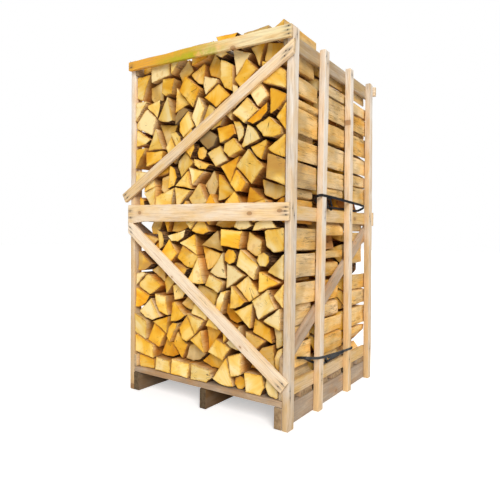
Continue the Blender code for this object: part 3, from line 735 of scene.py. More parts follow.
# %% The boards of one face
def build_face(face, sign):
    """Nails two boards and two braces on the front, sign 1, or turned round on the back, -1."""
    half = WIDTH / 2
    y = -sign * (DEPTH / 2 + GAP + BOARD_THICK / 2)
    front = face == "front"

    def at(x, z):
        return Vector((sign * x, y, z))

    def sloping(p):
        return Vector((0, 0, LEFT_RISE * (half - p.x) / WIDTH))

    def nailed_on(name, board, looks, places, side, **more):
        nailed = nail_row(board, places, side, more.get("skew"))
        make_board(f"{face}_{name}", board, FACE_TONES[name], looks, nailed=nailed, **more)

    z = HEIGHT - TOP_BOARD_HIGH / 2
    top = Board((-half, y, z), (half, y, z), TOP_BOARD_HIGH, BOARD_THICK, (0, -1, 0))
    nailed_on("board_top", top, [mossy_timber if front else pale_timber, board_end], END_NAILS,
              sign, skew=sloping)
    z = MIDDLE_BOARD_BASE + MIDDLE_BOARD_HIGH / 2
    middle = Board((-half, y, z), (half, y, z), MIDDLE_BOARD_HIGH, BOARD_THICK, (0, -1, 0))
    nailed_on("board_middle", middle, pale_looks, END_NAILS, sign, shape=waney if front else None)

    foot, head, wide = UPPER_BRACE
    start, end = at(*foot), at(*head)
    start = start.lerp(end, 0.0 if front else 0.077)
    upper = Board(start, end, wide, BOARD_THICK, (0, -sign, 0))
    trims = [(at(half + 0.0135, 0), (sign, 0, 0)),
             ((0, 0, HEIGHT - TOP_BOARD_HIGH - GAP), (0, 0, 1))]
    last = upper.length * (half - sign * start.x) / (head[0] - sign * start.x)
    places = [(0.022, 0.014), (0.030, -0.012), (last - 0.014, -0.004), (last - 0.032, 0.004),
              (last - 0.050, -0.012)]
    nailed_on("brace_upper", upper, pale_looks, places, 1, trims=trims)

    head, foot, wide = LOWER_BRACE
    reach = half if front else half - 0.040
    lower = Board(at(*head), at(*foot), wide, BOARD_THICK, (0, -sign, 0))
    trims = [(at(-reach, 0), (-sign, 0, 0)), ((0, 0, MIDDLE_BOARD_BASE - GAP), (0, 0, 1))]
    first = lower.length * (-head[0] - reach) / (foot[0] - head[0])
    places = [(first + 0.020, 0.004), (first + 0.045, -0.016), (lower.length - 0.022, 0.012),
              (lower.length - 0.030, -0.016)]
    nailed_on("brace_lower", lower, pale_looks, places, 1, trims=trims)


build_face("front", 1)
build_face("back", -1)
print("front and back made, nails:", len(nails))

# %% [markdown]
# ## Nail heads
# The heads are small discs with sloping rims, driven just under the surface. All of them are made
# in one mesh, because nearly a hundred separate pieces would be no use to anyone.

# %% Nail heads in rusty steel
def nail_steel():
    material, tree = start_material("rusty nail steel")
    rust = band(cloud(object_place(tree), 900.0, 3.0, 0.65), 0.38, 0.62)
    surface(tree, blend(rust, (0.075, 0.072, 0.07), (0.10, 0.045, 0.022)),
            band(rust, 0.0, 1.0, 0.42, 0.85), 0.5, (0.4, 0.0003, rust),
            metal=band(rust, 0.0, 1.0, 0.7, 0.0))
    return material


bm = bmesh.new()
for i, (point, normal) in enumerate(nails):
    turn = normal.to_track_quat("Z", "Y").to_matrix().to_4x4()
    tilt = Matrix.Rotation(math.radians(5.0), 4, Vector((math.cos(i), math.sin(i), 0)))
    matrix = Matrix.Translation(point - normal * 0.0014) @ turn @ tilt
    bmesh.ops.create_cone(bm, cap_ends=True, segments=14, radius1=0.0036, radius2=0.0031,
                          depth=0.0018, matrix=matrix)
heads = settle("nail_heads", bm, [nail_steel()], sharp=0.5)
print("nail heads:", len(nails), "faces:", len(heads.data.polygons))

# %% [markdown]
# ## How the logs were stacked
# Nobody could place hundreds of logs by hand. The solids were stacked by a small game that the
# script plays again, move for move: pick up three logs, try each one turned twenty ways all along
# the pile, and lay down the one that sits lowest and steadiest. The pile is a row of whole-number
# heights, like a skyline, so the sums are exact and the logs land exactly where their solids are.

# %% The game's measures
TIER_PITCH, LOG_LONG, LOG_ROOM, SCATTER = 0.374, 0.332, 0.535, 0.013
END_PLANE, END_DEPTH, SIDE_SHARE = DEPTH / 2 - 0.0015, 0.055, 0.2
RAIL_COLUMNS, SLIDE, PRESS, OVERHANG, TOP_LOGS = 11, 0.034, 0.050, 0.010, 7
PILE_MIDDLE, CORNER_WIDE, CORNER_LOW, CORNER_HIGH = 1.015, 0.090, 0.985, 1.050
STRAP_TOPS = ((0.352, 1.200), (0.278, 1.166), (0.282, 1.176))
STEP = 0.002             # width of the columns in which the height of the pile is kept
UNIT = 1e6               # pile heights are whole micrometres, so that sums are exact
TURNS = 20               # ways round that a log is tried
TRIES = 3                # logs picked up before the best one is laid down
MISSES = 6               # failed rounds before a tier counts as full
NOWHERE = 10 ** 9        # the cost of a place where a log can't lie
DEEP = 100000            # a hollow under a log counts as no deeper than this, in micrometres
BRIDGED = 0.110          # hollows narrower than this are bridged over, half way up
print("columns across the crate:", int(round(2 * LOG_ROOM / STEP)))

# %% The end outline of a split log
def arc(radius, start, end, steps):
    """Points on a circle about the origin, between two angles."""
    angles = [start + (end - start) * i / steps for i in range(steps + 1)]
    return [(radius * math.cos(a), radius * math.sin(a)) for a in angles]


def split_log(rng):
    """The end outline of one split log, anticlockwise, and which of its edges are bark."""
    kind = rng.random()
    if kind < 0.60:
        wide, high = rng.uniform(0.104, 0.158), rng.uniform(0.078, 0.124)
        slant = rng.uniform(-0.020, 0.020)
        corners = ((-1, -1), (1, -1), (1, 1), (-1, 1))
        points = [(wide * i / 2 + slant * j + rng.uniform(-0.011, 0.011),
                   high * j / 2 + rng.uniform(-0.011, 0.011)) for i, j in corners]
        bark = [False] * 4
        if rng.random() < 0.35:
            here, back, ahead = points[1], points[0], points[2]
            cut, trim = rng.uniform(0.2, 0.4), rng.uniform(0.2, 0.45)
            first = tuple(h + (b - h) * cut for h, b in zip(here, back))
            second = tuple(h + (a - h) * trim for h, a in zip(here, ahead))
            points[1:2] = [first, second]
            bark = [False, True, False, False, False]
    elif kind < 0.81:
        radius, spread = rng.uniform(0.118, 0.168), math.radians(rng.uniform(48, 84))
        points = arc(radius, -spread / 2, spread / 2, 3)
        blunt = rng.uniform(0.0, 0.30)
        ends = (points[3], points[0]) if blunt > 0.12 else (points[3],)
        points += [(x * blunt, y * blunt) for x, y in ends] if blunt > 0.12 else [(0.0, 0.0)]
        bark = [True] * 3 + [False] * (len(points) - 3)
    elif kind < 0.91:
        base, high = rng.uniform(0.118, 0.162), rng.uniform(0.095, 0.130)
        lean = rng.uniform(-0.3, 0.3)
        points = [(-base / 2, 0.0), (base / 2, 0.0), (lean * base, high)]
        bark = [False] * 3
    elif kind < 0.97:
        radius, flat = rng.uniform(0.060, 0.080), rng.uniform(0.62, 0.95)
        points = [(x, y * flat) for x, y in arc(radius, 0.0, math.pi, 4)]
        bark = [True] * 4 + [False]
    else:
        radius = rng.uniform(0.040, 0.055)
        points = arc(radius, 0.0, 2 * math.pi, 7)[:-1]
        bark = [True] * 7
    middle_x = sum(x for x, _ in points) / len(points)
    middle_z = sum(z for _, z in points) / len(points)
    return [(x - middle_x, z - middle_z) for x, z in points], bark


# %% The best place for a log
def turned(points, angle):
    c, s = math.cos(angle), math.sin(angle)
    return [(x * c - z * s, x * s + z * c) for x, z in points]


def profile(points):
    """The lowest and highest level of an outline in each column, and its left end."""
    left = min(x for x, _ in points)
    right = max(x for x, _ in points)
    count = int(math.ceil((right - left) / STEP)) + 1
    columns = left + np.arange(count) * STEP
    low = np.full(count, NOWHERE, dtype=np.int64)
    high = np.full(count, -NOWHERE, dtype=np.int64)
    for (ax, az), (bx, bz) in zip(points, points[1:] + points[:1]):
        inside = (columns >= min(ax, bx)) & (columns <= max(ax, bx))
        if inside.any() and abs(bx - ax) > 1e-9:
            level = az + (bz - az) * (columns[inside] - ax) / (bx - ax)
            level = np.rint(level * UNIT).astype(np.int64)
            low[inside] = np.minimum(low[inside], level)
            high[inside] = np.maximum(high[inside], level)
        column = int((ax - left) / STEP)
        corner = int(round(az * UNIT))
        for k in (column, min(column + 1, count - 1)):
            low[k] = min(low[k], corner)
            high[k] = max(high[k], corner)
    return left, low, high


def rails_beside(tier):
    """The heights, left and right, where a rail or a side brace keeps the logs of a tier in."""
    bands = [(top - RAIL_HIGH, top) for top in RAIL_TOPS.values()]
    left, right = list(bands), list(bands)
    left[0] = (bands[0][0] + LEFT_RISE, bands[0][1] + LEFT_RISE)
    right += list(zip((RAIL_TOPS["bottom"], RAIL_TOPS["middle"]), STRAP_TOPS[tier]))
    foot, head, wide = SIDE_BRACE
    steep = (head[1] - foot[1]) / (head[0] - foot[0])
    for sign, side in ((-1, left), (1, right)):
        ends = [foot[1] + (sign * tier_middle(tier) + d - foot[0]) * steep for d in (-0.190, 0.190)]
        margin = wide / 2 * math.hypot(1.0, steep)
        side.append((min(ends) - margin, max(ends) + margin))
    clear = 0.003
    return [[(int((low - clear) * UNIT), int((high + clear) * UNIT)) for low, high in side]
            for side in (left, right)]


def kept_in(lift, low, high, bands):
    """Which of the first columns a log can't start in, because a rail or brace is in its way."""
    shut = np.zeros(len(lift), dtype=bool)
    lowest, highest = np.minimum.accumulate(low), np.maximum.accumulate(high)
    for column in range(min(RAIL_COLUMNS, len(lift))):
        last = min(RAIL_COLUMNS - column, len(low) - 1)
        bottom, top = lift[column] + lowest[last], lift[column] + highest[last]
        shut[column] = any(bottom < band[1] and top > band[0] for band in bands)
    return shut


def lay(pile, log, limit, bands):
    """The best place on the pile for a log: (cost, column, lift, outline, profile)."""
    best = None
    points, start = log
    for turn in range(TURNS):
        outline = turned(points, start + 2 * math.pi * turn / TURNS)
        left, low, high = profile(outline)
        reach = len(low)
        under = np.minimum(low, np.minimum(np.r_[low[1:], low[-1:]], np.r_[low[:1], low[:-1]]))
        below = np.lib.stride_tricks.sliding_window_view(pile, reach)
        lift = (below - under).max(axis=1)
        void = lift[:, None] + under - below
        half = reach // 2
        rock = void[:, :half].min(axis=1) + void[:, half:].min(axis=1)
        hollow = np.minimum(void, DEEP).sum(axis=1) // reach
        cost = lift - int(high.max() - low.min()) // 5 + hollow + rock * 8 // 5
        shut = kept_in(lift, low, high, bands[0])
        shut |= kept_in(lift[::-1], low[::-1], high[::-1], bands[1])[::-1]
        cost = np.where(shut | (lift + int(high.max()) > limit[:len(lift)]), NOWHERE, cost)
        column = int(np.argmin(cost))
        if best is None or cost[column] < best[0]:
            best = (int(cost[column]), column, int(lift[column]), outline, (left, low, high))
    return best


# %% Hollows bridged over, and rails passed
def bridged(pile, span):
    """The pile with its hollows narrower than span bridged over."""
    reach = int(span / STEP)
    padded = np.pad(pile, reach, constant_values=int(pile.max()))
    window = np.lib.stride_tricks.sliding_window_view
    raised = window(padded, reach).max(axis=1)
    return window(raised, reach).min(axis=1)[1:len(pile) + 1]


def pass_rails(pile, bands):
    """Fills the outer columns up to the pile beside them, where that is level with a rail."""
    for side, ranges in ((pile, bands[0]), (pile[::-1], bands[1])):
        beside = side[RAIL_COLUMNS]
        for low, high in ranges:
            if beside > low:
                side[:RAIL_COLUMNS] = np.maximum(side[:RAIL_COLUMNS], min(beside, high))


# %% Stack one tier
def stack_logs(seed, tops, tier):
    """Lays logs one by one where they sit lowest and steadiest, until they reach the tops, which
    are heights at even steps across the crate. Returns (outline, bark) pairs.
    """
    rng = random.Random(seed)
    bands = rails_beside(tier)
    count = int(round(2 * LOG_ROOM / STEP))
    pile = np.full(count, int(round((DECK_TOP + GAP) * UNIT)), dtype=np.int64)
    gap = int(0.001 * UNIT)
    logs = []
    half = np.full(count, int(round(PILE_MIDDLE * UNIT)), dtype=np.int64)
    corner = int(CORNER_WIDE / STEP) if tier == 0 else 0
    half[:corner] = int(round(CORNER_LOW * UNIT))
    steps = np.linspace(0, count - 1, len(tops))
    full = np.rint(np.interp(np.arange(count), steps, tops) * UNIT).astype(np.int64)
    for limit, last in ((half, False), (full, True)):
        misses = 0
        while misses < MISSES:
            picked = []
            for _ in range(TRIES):
                points, bark = split_log(rng)
                start = rng.uniform(0, math.pi)
                picked.append((lay(pile, (points, start), limit, bands), bark))
            place, bark = min(picked, key=lambda item: item[0][0])
            cost, column, lift, outline, (left, low, high) = place
            if cost >= NOWHERE:
                misses += 1
                continue
            shift = column * STEP - LOG_ROOM - left
            rise = (lift + gap) / UNIT
            logs.append(([(x + shift, z + rise) for x, z in outline], bark))
            here = slice(column, column + len(low))
            pile[here] = np.maximum(pile[here], lift + high + gap)
            pass_rails(pile, bands)
        if not last:
            pile = bridged(pile, BRIDGED)
            pile[:corner] = np.maximum(pile[:corner], int(round(CORNER_HIGH * UNIT)))
    for sign, side in ((-1, bands[0]), (1, bands[1])):
        for move in (slide_out, press_out):
            for i in sorted(range(len(logs)), key=lambda i: -max(sign * x for x, _ in logs[i][0])):
                move(logs, i, sign, side)
    return logs


# %% Bring the logs at the sides out to the posts
def apart(first, second):
    """Whether two outlines are clear of each other: some edge has the other outline beyond it."""
    for one, other in ((first, second), (second, first)):
        for (ax, az), (bx, bz) in zip(one, one[1:] + one[:1]):
            if all((bx - ax) * (z - az) <= (bz - az) * (x - ax) for x, z in other):
                return True
    return False


def blocked(outline, sign, bands):
    """Whether a rail or brace is in the way of the part of an outline that is level with it."""
    edge = INNER - BOARD_THICK - 0.003
    beyond = [z for x, z in outline if sign * x > edge]
    for (ax, az), (bx, bz) in zip(outline, outline[1:] + outline[:1]):
        if (sign * ax > edge) != (sign * bx > edge):
            beyond.append(az + (bz - az) * (sign * edge - ax) / (bx - ax))
    if not beyond:
        return False
    return any(min(beyond) * UNIT < high and max(beyond) * UNIT > low for low, high in bands)


def neighbours(logs, i, sign):
    """The outlines of the other logs at the same side of the pile."""
    return [outline for j, (outline, _) in enumerate(logs) if j != i
            and max(sign * x for x, _ in outline) > LOG_ROOM - 0.200]


def slide_out(logs, i, sign, bands):
    """Slides a log at the side of the pile out to the posts, as far as nothing is in its way."""
    outline, bark = logs[i]
    free = LOG_ROOM - max(sign * x for x, _ in outline)
    others = neighbours(logs, i, sign)
    for step in range(int(free / STEP), 0, -1) if free < SLIDE else ():
        moved = [(x + sign * step * STEP, z) for x, z in outline]
        if not blocked(moved, sign, bands) and all(apart(moved, other) for other in others):
            logs[i] = (moved, bark)
            return


def turns_left(outline):
    """Whether an anticlockwise outline has no hollow corner."""
    count = len(outline)
    for k in range(count):
        (ax, az), (bx, bz), (cx, cz) = (outline[(k + n) % count] for n in range(3))
        if (bx - ax) * (cz - bz) - (bz - az) * (cx - bx) < 1e-6:
            return False
    return True


PRESS_STEP, PRESS_STEPS = 0.008, 10                      # the heights that a flat side may have
LEAST_SIDE = 0.020


def press_out(logs, i, sign, bands):
    """Gives a log at the side of the pile a flat outer side, as high as its neighbours allow."""
    outline, bark = logs[i]
    count = len(outline)
    if max(sign * x for x, _ in outline) < LOG_ROOM - PRESS + 0.006:
        return
    kept = [sign * x < LOG_ROOM - PRESS for x, _ in outline]
    first = next((k for k in range(count) if kept[k] and not kept[k - 1]), None)
    if first is None:
        return
    order = [(first + k) % count for k in range(count) if kept[(first + k) % count]]
    outer = [outline[k][1] for k in range(count) if not kept[k]]
    middle = sum(outer) / len(outer)
    lowest = max(DECK_TOP + GAP, min(z for _, z in outline) - OVERHANG)
    highest = max(z for _, z in outline) + OVERHANG
    others = neighbours(logs, i, sign)
    best = None
    for wall in (LOG_ROOM, INNER - BOARD_THICK - 0.004):
        for down in range(PRESS_STEPS):
            for rise in range(PRESS_STEPS):
                low = max(middle - PRESS_STEP * down, lowest)
                high = min(middle + PRESS_STEP * rise, highest)
                ends = [(sign * wall, low), (sign * wall, high)]
                if high - low < LEAST_SIDE or best and high - low <= best[0]:
                    continue
                pressed = [outline[k] for k in order] + (ends if sign > 0 else ends[::-1])
                if (turns_left(pressed) and not blocked(pressed, sign, bands)
                        and all(apart(pressed, other) for other in others)):
                    best = (high - low, pressed)
        if best:
            break
    if best:
        logs[i] = (best[1], [bark[k] for k in order[:-1]] + [False] * 3)


# %% The logs of one tier, and the loose ones on top
class Log:
    """One log of a tier: its end outline in X and Z, its bark edges and where its ends are in Y."""

    def __init__(self, outline, bark, front, back):
        self.outline, self.bark, self.front, self.back = outline, bark, front, back
        self.left = min(x for x, _ in outline)
        self.right = max(x for x, _ in outline)
        self.top = max(z for _, z in outline)


def tier_middle(tier):
    return (tier - 1) * TIER_PITCH


def tier_logs(tier, seed, tops):
    """The logs of tier 0, 1 or 2, from the front. Most outer ends are level with the posts."""
    rng = random.Random(seed + 100)
    middle = tier_middle(tier)
    logs = []
    for outline, bark in stack_logs(seed, tops, tier):
        recess = END_DEPTH * rng.random() ** 2
        if max(abs(x) for x, _ in outline) > LOG_ROOM - 0.010:
            recess *= SIDE_SHARE
        front = middle - LOG_LONG / 2 + rng.uniform(-SCATTER, SCATTER)
        back = middle + LOG_LONG / 2 + rng.uniform(-SCATTER, SCATTER)
        if tier == 0:
            front = recess - END_PLANE
        if tier == 2:
            back = END_PLANE - recess
        logs.append(Log(outline, bark, front, back))
    return logs


def top_course(logs):
    """The highest logs with nothing laid on them, up to TOP_LOGS of them."""
    free = []
    for i, log in enumerate(logs):
        if not any(other.left < log.right and other.right > log.left for other in logs[i + 1:]):
            free.append(log)
    free.sort(key=lambda log: -log.top)
    return free[:TOP_LOGS]


TIERS = (                # name, seed of the game, and the height of the pile across the crate
    ("front", 57, (2.035, 2.020, 2.035, 2.050, 2.050, 2.050, 2.055, 2.065, 2.055)),
    ("middle", 13, (1.990, 2.000, 2.010, 2.010, 2.000)),
    ("back", 9, (1.990, 1.990, 2.000, 2.000, 1.990)),
)

# %% [markdown]
# ## Split firewood
# A saw cuts the tree into lengths and an axe splits them, so a log has two kinds of surface: sawn
# ends, matt and orange with fine saw lines and now and then a drying crack, and split faces, which
# tear along the fibres. What is left of the outside of the tree is bark. Three materials share the
# fibre and ring groups, and each log brings its own tone: brightness, amber, and weathering.

# %% A sawn log end
def log_end_finish():
    material, tree = start_material("sawn log end")
    grain, tone = wood_values(tree)
    rings = use_group(tree, ring_group, Grain=grain, Ring_width=0.0048, Waver=0.012)
    broad = cloud(grain * (11.0, 3.0, 7.0), 1.0, 1.0)
    streak = cloud(grain * (62.0, 1.0, 9.0), 1.0, 2.0, 0.6)
    # The rim of each end turns browner in patches: partly the frayed saw cut, partly painted shade
    # for the dark outline of the gap round the log.
    rim = attribute(tree, "tone", "Alpha")
    worn = rim * rim * band(cloud(grain, 70.0, 3.0, 0.6), 0.30, 0.60)
    amber = tone[1] + band(broad, 0.32, 0.68, -0.24, 0.22) + band(streak, 0.30, 0.70, -0.08, 0.09)
    colour = ramp(clamp(worn * 0.30 + amber), (0.93, 0.73, 0.36), (0.86, 0.36, 0.012),
                  {0.30: (0.94, 0.64, 0.175), 0.65: (0.94, 0.51, 0.045)})
    colour = blend(rings["Line"] * 0.06, colour, (0.52, 0.22, 0.03))
    colour = blend(worn * 0.55, colour, (0.40, 0.18, 0.045))
    spots = cloud(grain + (7.0, 0.0, 3.0), 55.0, 3.0, 0.6)
    colour = blend(band(spots, 0.68, 0.78, 0.0, 0.6), colour, (0.30, 0.13, 0.03))
    stain = cloud(grain + (3.0, 0.0, 9.0), 19.0, 2.0, 0.6)
    colour = blend(band(stain, 0.56, 0.72, 0.0, 0.45), colour, (0.66, 0.36, 0.09))
    spokes = radial_cracks(tree, grain, rings["Radius"])
    colour = blend(spokes * 0.85, colour, (0.10, 0.04, 0.012))
    colour = use_group(tree, grey_group, Color=colour, Amount=tone[2], Streak=broad,
                       Grey=(0.38, 0.24, 0.12))["Color"]
    colour = lit(colour, tone[0] * band(broad, 0.30, 0.70, 2.06, 1.88))
    height = streak * 0.5 + cloud(grain, 420.0, 3.0, 0.7) * 0.05 + spokes * -1.5
    # Ends deep in the load get painted shade.
    surface(tree, painted_depth_shade(tree, colour, 0.35, (0.62, 0.42, 0.20)), 0.86, 0.15,
            (0.5, 0.0010, height))
    return material


def radial_cracks(tree, grain, radius):
    """Drying cracks on a log end, which run outwards from the heart of the tree."""
    part = parts_of(grain)
    where = add(tree, "CombineXYZ", {"X": sum_of("ARCTAN2", part[2], part[0]) * 3.6,
                "Y": radius * 2.5, "Z": part[1]})[0]
    gate = cloud(grain * (16.0, 1.0, 16.0), 1.0, 1.0)
    return thin_lines(cloud(where, 1.0, 1.0, 0.4), 0.010) * band(gate, 0.56, 0.62)


# %% A split face
def split_face_finish():
    material, tree = start_material("split log face")
    grain, tone = wood_values(tree)
    fibres = use_group(tree, fibre_group, Grain=grain, Scale=95.0, Stretch=13.0)
    rings = use_group(tree, ring_group, Grain=grain, Ring_width=0.0046, Waver=0.014)
    broad = cloud(grain * (17.0, 4.5, 17.0), 1.0, 3.0, 0.55)
    amber = tone[1] * 0.75 + band(broad, 0.3, 0.72, -0.20, 0.36)
    colour = ramp(clamp(amber), (0.85, 0.62, 0.33), (0.68, 0.28, 0.024),
                  {0.35: (0.84, 0.54, 0.20), 0.7: (0.82, 0.42, 0.070)})
    colour = blend(rings["Line"] * 0.25, colour, (0.45, 0.20, 0.05))
    colour = blend(band(fibres["Streak"], 0.54, 0.74, 0.0, 0.62), colour, (0.42, 0.19, 0.05))
    colour = blend(band(fibres["Hair"], 0.56, 0.76, 0.0, 0.40), colour, (0.27, 0.13, 0.05))
    tear = thin_lines(cloud(grain * (46.0, 3.4, 46.0), 1.0, 3.0, 0.6), 0.012)
    tear = tear * band(cloud(grain * (15.0, 4.0, 15.0), 1.0, 1.0), 0.52, 0.58)
    colour = blend(tear * 0.8, colour, (0.10, 0.045, 0.015))
    colour = use_group(tree, grey_group, Color=colour, Amount=tone[2], Streak=fibres["Streak"],
                       Grey=(0.42, 0.31, 0.19))["Color"]
    patch = band(cloud(object_place(tree), 6.5, 1.0), 0.34, 0.66, 0.80, 1.12)
    colour = lit(colour, tone[0] * band(fibres["Hair"], 0.25, 0.75, 2.16, 1.74) * patch)
    height = rings["Line"] * -0.2 + fibres["Height"] + tear * -0.8
    # Split faces deep in the load get painted shade.
    surface(tree, painted_depth_shade(tree, colour, 0.92, (0.62, 0.38, 0.16)),
            band(fibres["Streak"], 0.2, 0.8, 0.68, 0.88), 0.28, (0.9, 0.0030, height))
    return material


# %% Bark
def bark_finish():
    material, tree = start_material("log bark")
    grain, tone = wood_values(tree)
    plates = add(tree, "TexVoronoi", {"Vector": grain * (80.0, 13.0, 80.0), "Scale": 1.0},
                 feature="DISTANCE_TO_EDGE")
    furrow = band(plates["Distance"], 0.0, 0.18, 1.0, 0.0)
    scurf = cloud(grain * (150.0, 60.0, 150.0), 1.0, 4.0, 0.65)
    colour = blend(scurf, (0.10, 0.040, 0.012), (0.27, 0.135, 0.052))
    colour = blend(tone[2] * 0.5, colour, (0.27, 0.21, 0.15))
    colour = blend(furrow * 0.85, colour, (0.022, 0.009, 0.004))
    colour = blend(band(cloud(grain, 23.0), 0.56, 0.70, 0.0, 0.7), colour, (0.46, 0.22, 0.055))
    surface(tree, colour, 0.92, 0.2, (0.9, 0.0025, furrow * -1.0 + scurf * 0.6))
    return material


log_looks = [log_end_finish(), split_face_finish(), bark_finish()]
print("log materials:", [material.name for material in log_looks])

# %% [markdown]
# One log is its end outline pulled along the fibres. The corners are chamfered, the outline is cut
# into short steps, and an extrusion with rings along it gives points for noise to move: long
# furrows on split faces, shallow lumps on bark. The rim at each end is inset, where a saw frays it.

# %% The tone of one log
def log_tone(rng, height):
    """Brightness, amber and weathering. Logs low in the pile are a little more amber."""
    amber = rng.gauss(0.22, 0.12) if rng.random() < 0.33 + 0.15 * height else rng.gauss(0.56, 0.13)
    bright = rng.gauss(0.500, 0.034)
    grey = rng.uniform(0.0, 0.12)
    kind = rng.random()
    if kind < 0.008:
        bright, grey = 0.34, rng.uniform(0.60, 0.75)
    elif kind < 0.05:
        bright, grey = 0.47, rng.uniform(0.22, 0.38)
    return bright, min(0.85, max(0.02, amber)), grey


def beside_bark(log, x, z):
    """Whether a point of the section lies nearest to an edge that still has its bark."""
    best = None
    for i, (a, b) in enumerate(zip(log.outline, log.outline[1:] + log.outline[:1])):
        a, b, p = Vector(a), Vector(b), Vector((x, z))
        t = max(0.0, min(1.0, (p - a).dot(b - a) / (b - a).length_squared))
        off = (a + (b - a) * t - p).length
        if best is None or off < best[0]:
            best = (off, log.bark[i])
    return best[1]


# %% Model one log
# How finely a log is cut, by how much of it shows: step along its outline, and rings along it.
HIDDEN, END_SHOWS, SIDE_SHOWS = (0.060, 1), (0.020, 2), (0.018, 9)
SEEN_BESIDE, SEEN_ABOVE = 0.36, 1.75                     # from here on the sides of a log show
ROUNDING = 0.0016        # how far the rim of an end is worn back
SAWN, SPLIT, BARK = 0, 1, 2                              # the places of the three in log_looks


def grow_log(log, rng, detail):
    """A split log as its own bmesh, on the outline that the pile gave it."""
    pitch, rings = detail
    bm = bmesh.new()
    middle = sum((Vector(p) for p in log.outline), Vector((0, 0))) / len(log.outline)
    shrink = rng.uniform(0.950, 0.982)
    corners = [middle + (Vector(p) - middle) * shrink for p in log.outline]
    face = bm.faces.new([bm.verts.new((p.x, log.front + ROUNDING, p.y)) for p in corners])
    worn = rng.uniform(0.0008, 0.0030)
    if max(log.right, -log.left) > LOG_ROOM - 0.03:
        worn = rng.uniform(0.005, 0.011)
    soften(bm, bm.verts[:], worn, 2, "VERTICES")
    for edge in bm.edges[:]:
        steps = int(edge.calc_length() / pitch)
        if steps:
            bmesh.ops.subdivide_edges(bm, edges=[edge], cuts=steps)
    grown = bmesh.ops.extrude_face_region(bm, geom=bm.faces[:])["geom"]
    far = [g for g in grown if isinstance(g, bmesh.types.BMVert)]
    bmesh.ops.translate(bm, vec=(0, log.back - log.front - 2 * ROUNDING, 0), verts=far)
    longways = [e for e in bm.edges if abs(e.verts[0].co.y - e.verts[1].co.y) > 0.1]
    bmesh.ops.subdivide_edges(bm, edges=longways, cuts=rings, use_grid_fill=True)
    bmesh.ops.recalc_face_normals(bm, faces=bm.faces)
    ends = [f for f in bm.faces if abs(f.normal.y) > 0.9]
    rim = [] if detail == HIDDEN else step_in(bm, ends, ROUNDING, ROUNDING)
    # A second inset, 12 mm in, is where the rim's partly painted shade fades out.
    if detail != HIDDEN:
        step_in(bm, ends, 0.0120, 0.0)
    bm.verts.index_update()
    inner = {v.index for face in ends for v in face.verts}
    paint_log(bm, log, set(rim), inner, middle, rng)
    return bm


def step_in(bm, ends, inwards, outwards):
    """Insets end faces towards their own middles, which never folds a sharp corner over."""
    rim = bmesh.ops.inset_region(bm, faces=ends, thickness=0.0001, use_boundary=True)["faces"]
    for face in ends:
        centre = face.calc_center_median()
        for v in face.verts:
            v.co += (centre - v.co).normalized() * inwards + face.normal * outwards
    return rim


def paint_log(bm, log, rim, inner, middle, rng):
    """Furrows the sides, tilts the ends and gives the log its grain, tone and surfaces."""
    grain = bm.verts.layers.float_vector.new("grain")
    shade = bm.verts.layers.float_color.new("tone")
    tone = log_tone(rng, middle.y)
    angle, reach = rng.uniform(0, 2 * math.pi), rng.uniform(0.03, 0.13)
    outer_bark = rng.random() < 0.07 and log.top > 0.9
    heart = Vector((math.cos(angle), math.sin(angle))) * reach
    turn = Matrix.Rotation(rng.uniform(0, 2 * math.pi), 2)
    seed = Vector((rng.uniform(0, 99), rng.uniform(0, 99), rng.uniform(0, 99)))
    tilt = (rng.uniform(-0.05, 0.05), rng.uniform(-0.05, 0.05))
    taper, long = rng.uniform(0.0, 0.05), log.back - log.front
    lean = rng.uniform(-0.014, 0.014)
    bm.normal_update()
    for face in bm.faces:
        centre = face.calc_center_median()
        if abs(face.normal.y) > 0.85:
            face.material_index = SAWN
        else:
            barky = beside_bark(log, centre.x, centre.z)
            barky = barky or outer_bark and face.normal.x * middle.x > 0 and face.normal.z < 0.5
            face.material_index = BARK if barky else SAWN if face in rim else SPLIT
    for v in bm.verts:
        x, y, z = v.co
        across = turn @ (Vector((x, z)) - middle) - heart
        v[grain] = Vector((across.x, y + seed.y, across.y))
        # The alpha of the tone marks the rim of an end, for its browner, partly painted shade.
        v[shade] = (*tone, 0.0 if v.index in inner else 1.0)
        along = (y - log.front) / long
        outward = Vector((x - middle.x, 0, z - middle.y))
        furrow = noise.noise(Vector((x * 62.0, y * 2.4, z * 62.0)) + seed)
        lump = noise.noise(Vector((x * 26.0, y * 7.0, z * 26.0)) + seed)
        depth = furrow * 0.0020 + lump * 0.0034 - 0.0022
        v.co += outward.normalized() * depth - outward * taper * along
        v.co.z += lean * (along - 0.5) * long
        near_end = 1.0 if min(along, 1 - along) < 0.04 else 0.0
        askew = (x - middle.x) * tilt[0] + (z - middle.y) * tilt[1]
        v.co.y += near_end * max(-0.006, min(0.006, askew))


# %% Fill the crate
def gather(name, bodies, node):
    """Joins log bmeshes into one piece that stands for a solid."""
    joined = bmesh.new()
    mesh = bpy.data.meshes.new("log")
    for bm in bodies:
        bm.to_mesh(mesh)
        bm.free()
        joined.from_mesh(mesh)
    bpy.data.meshes.remove(mesh)
    piece = settle(name, joined, log_looks, sharp=0.55)
    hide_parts(node)
    return piece


for tier, (where, seed, tops) in enumerate(TIERS):
    logs = tier_logs(tier, seed, tops)
    loose = top_course(logs)
    fixed = [log for log in logs if log not in loose]
    rng = random.Random(seed * 7 + 1)
    bodies = []
    for log in fixed:
        outside = max(log.right, -log.left) > SEEN_BESIDE or log.top > SEEN_ABOVE
        detail = SIDE_SHOWS if outside else HIDDEN if where == "middle" else END_SHOWS
        bodies.append(grow_log(log, rng, detail))
    stack = gather(f"firewood_{where}", bodies, f"log_stack_{where}")
    for i, log in enumerate(sorted(loose, key=lambda log: log.left)):
        gather(f"loose_log_{where}_{i + 1}", [grow_log(log, rng, SIDE_SHOWS)],
               f"top_log_{where}_{i + 1}")
    print(where, "tier:", len(fixed), "fixed logs,", len(loose), "loose ones,",
          len(stack.data.polygons), "faces")

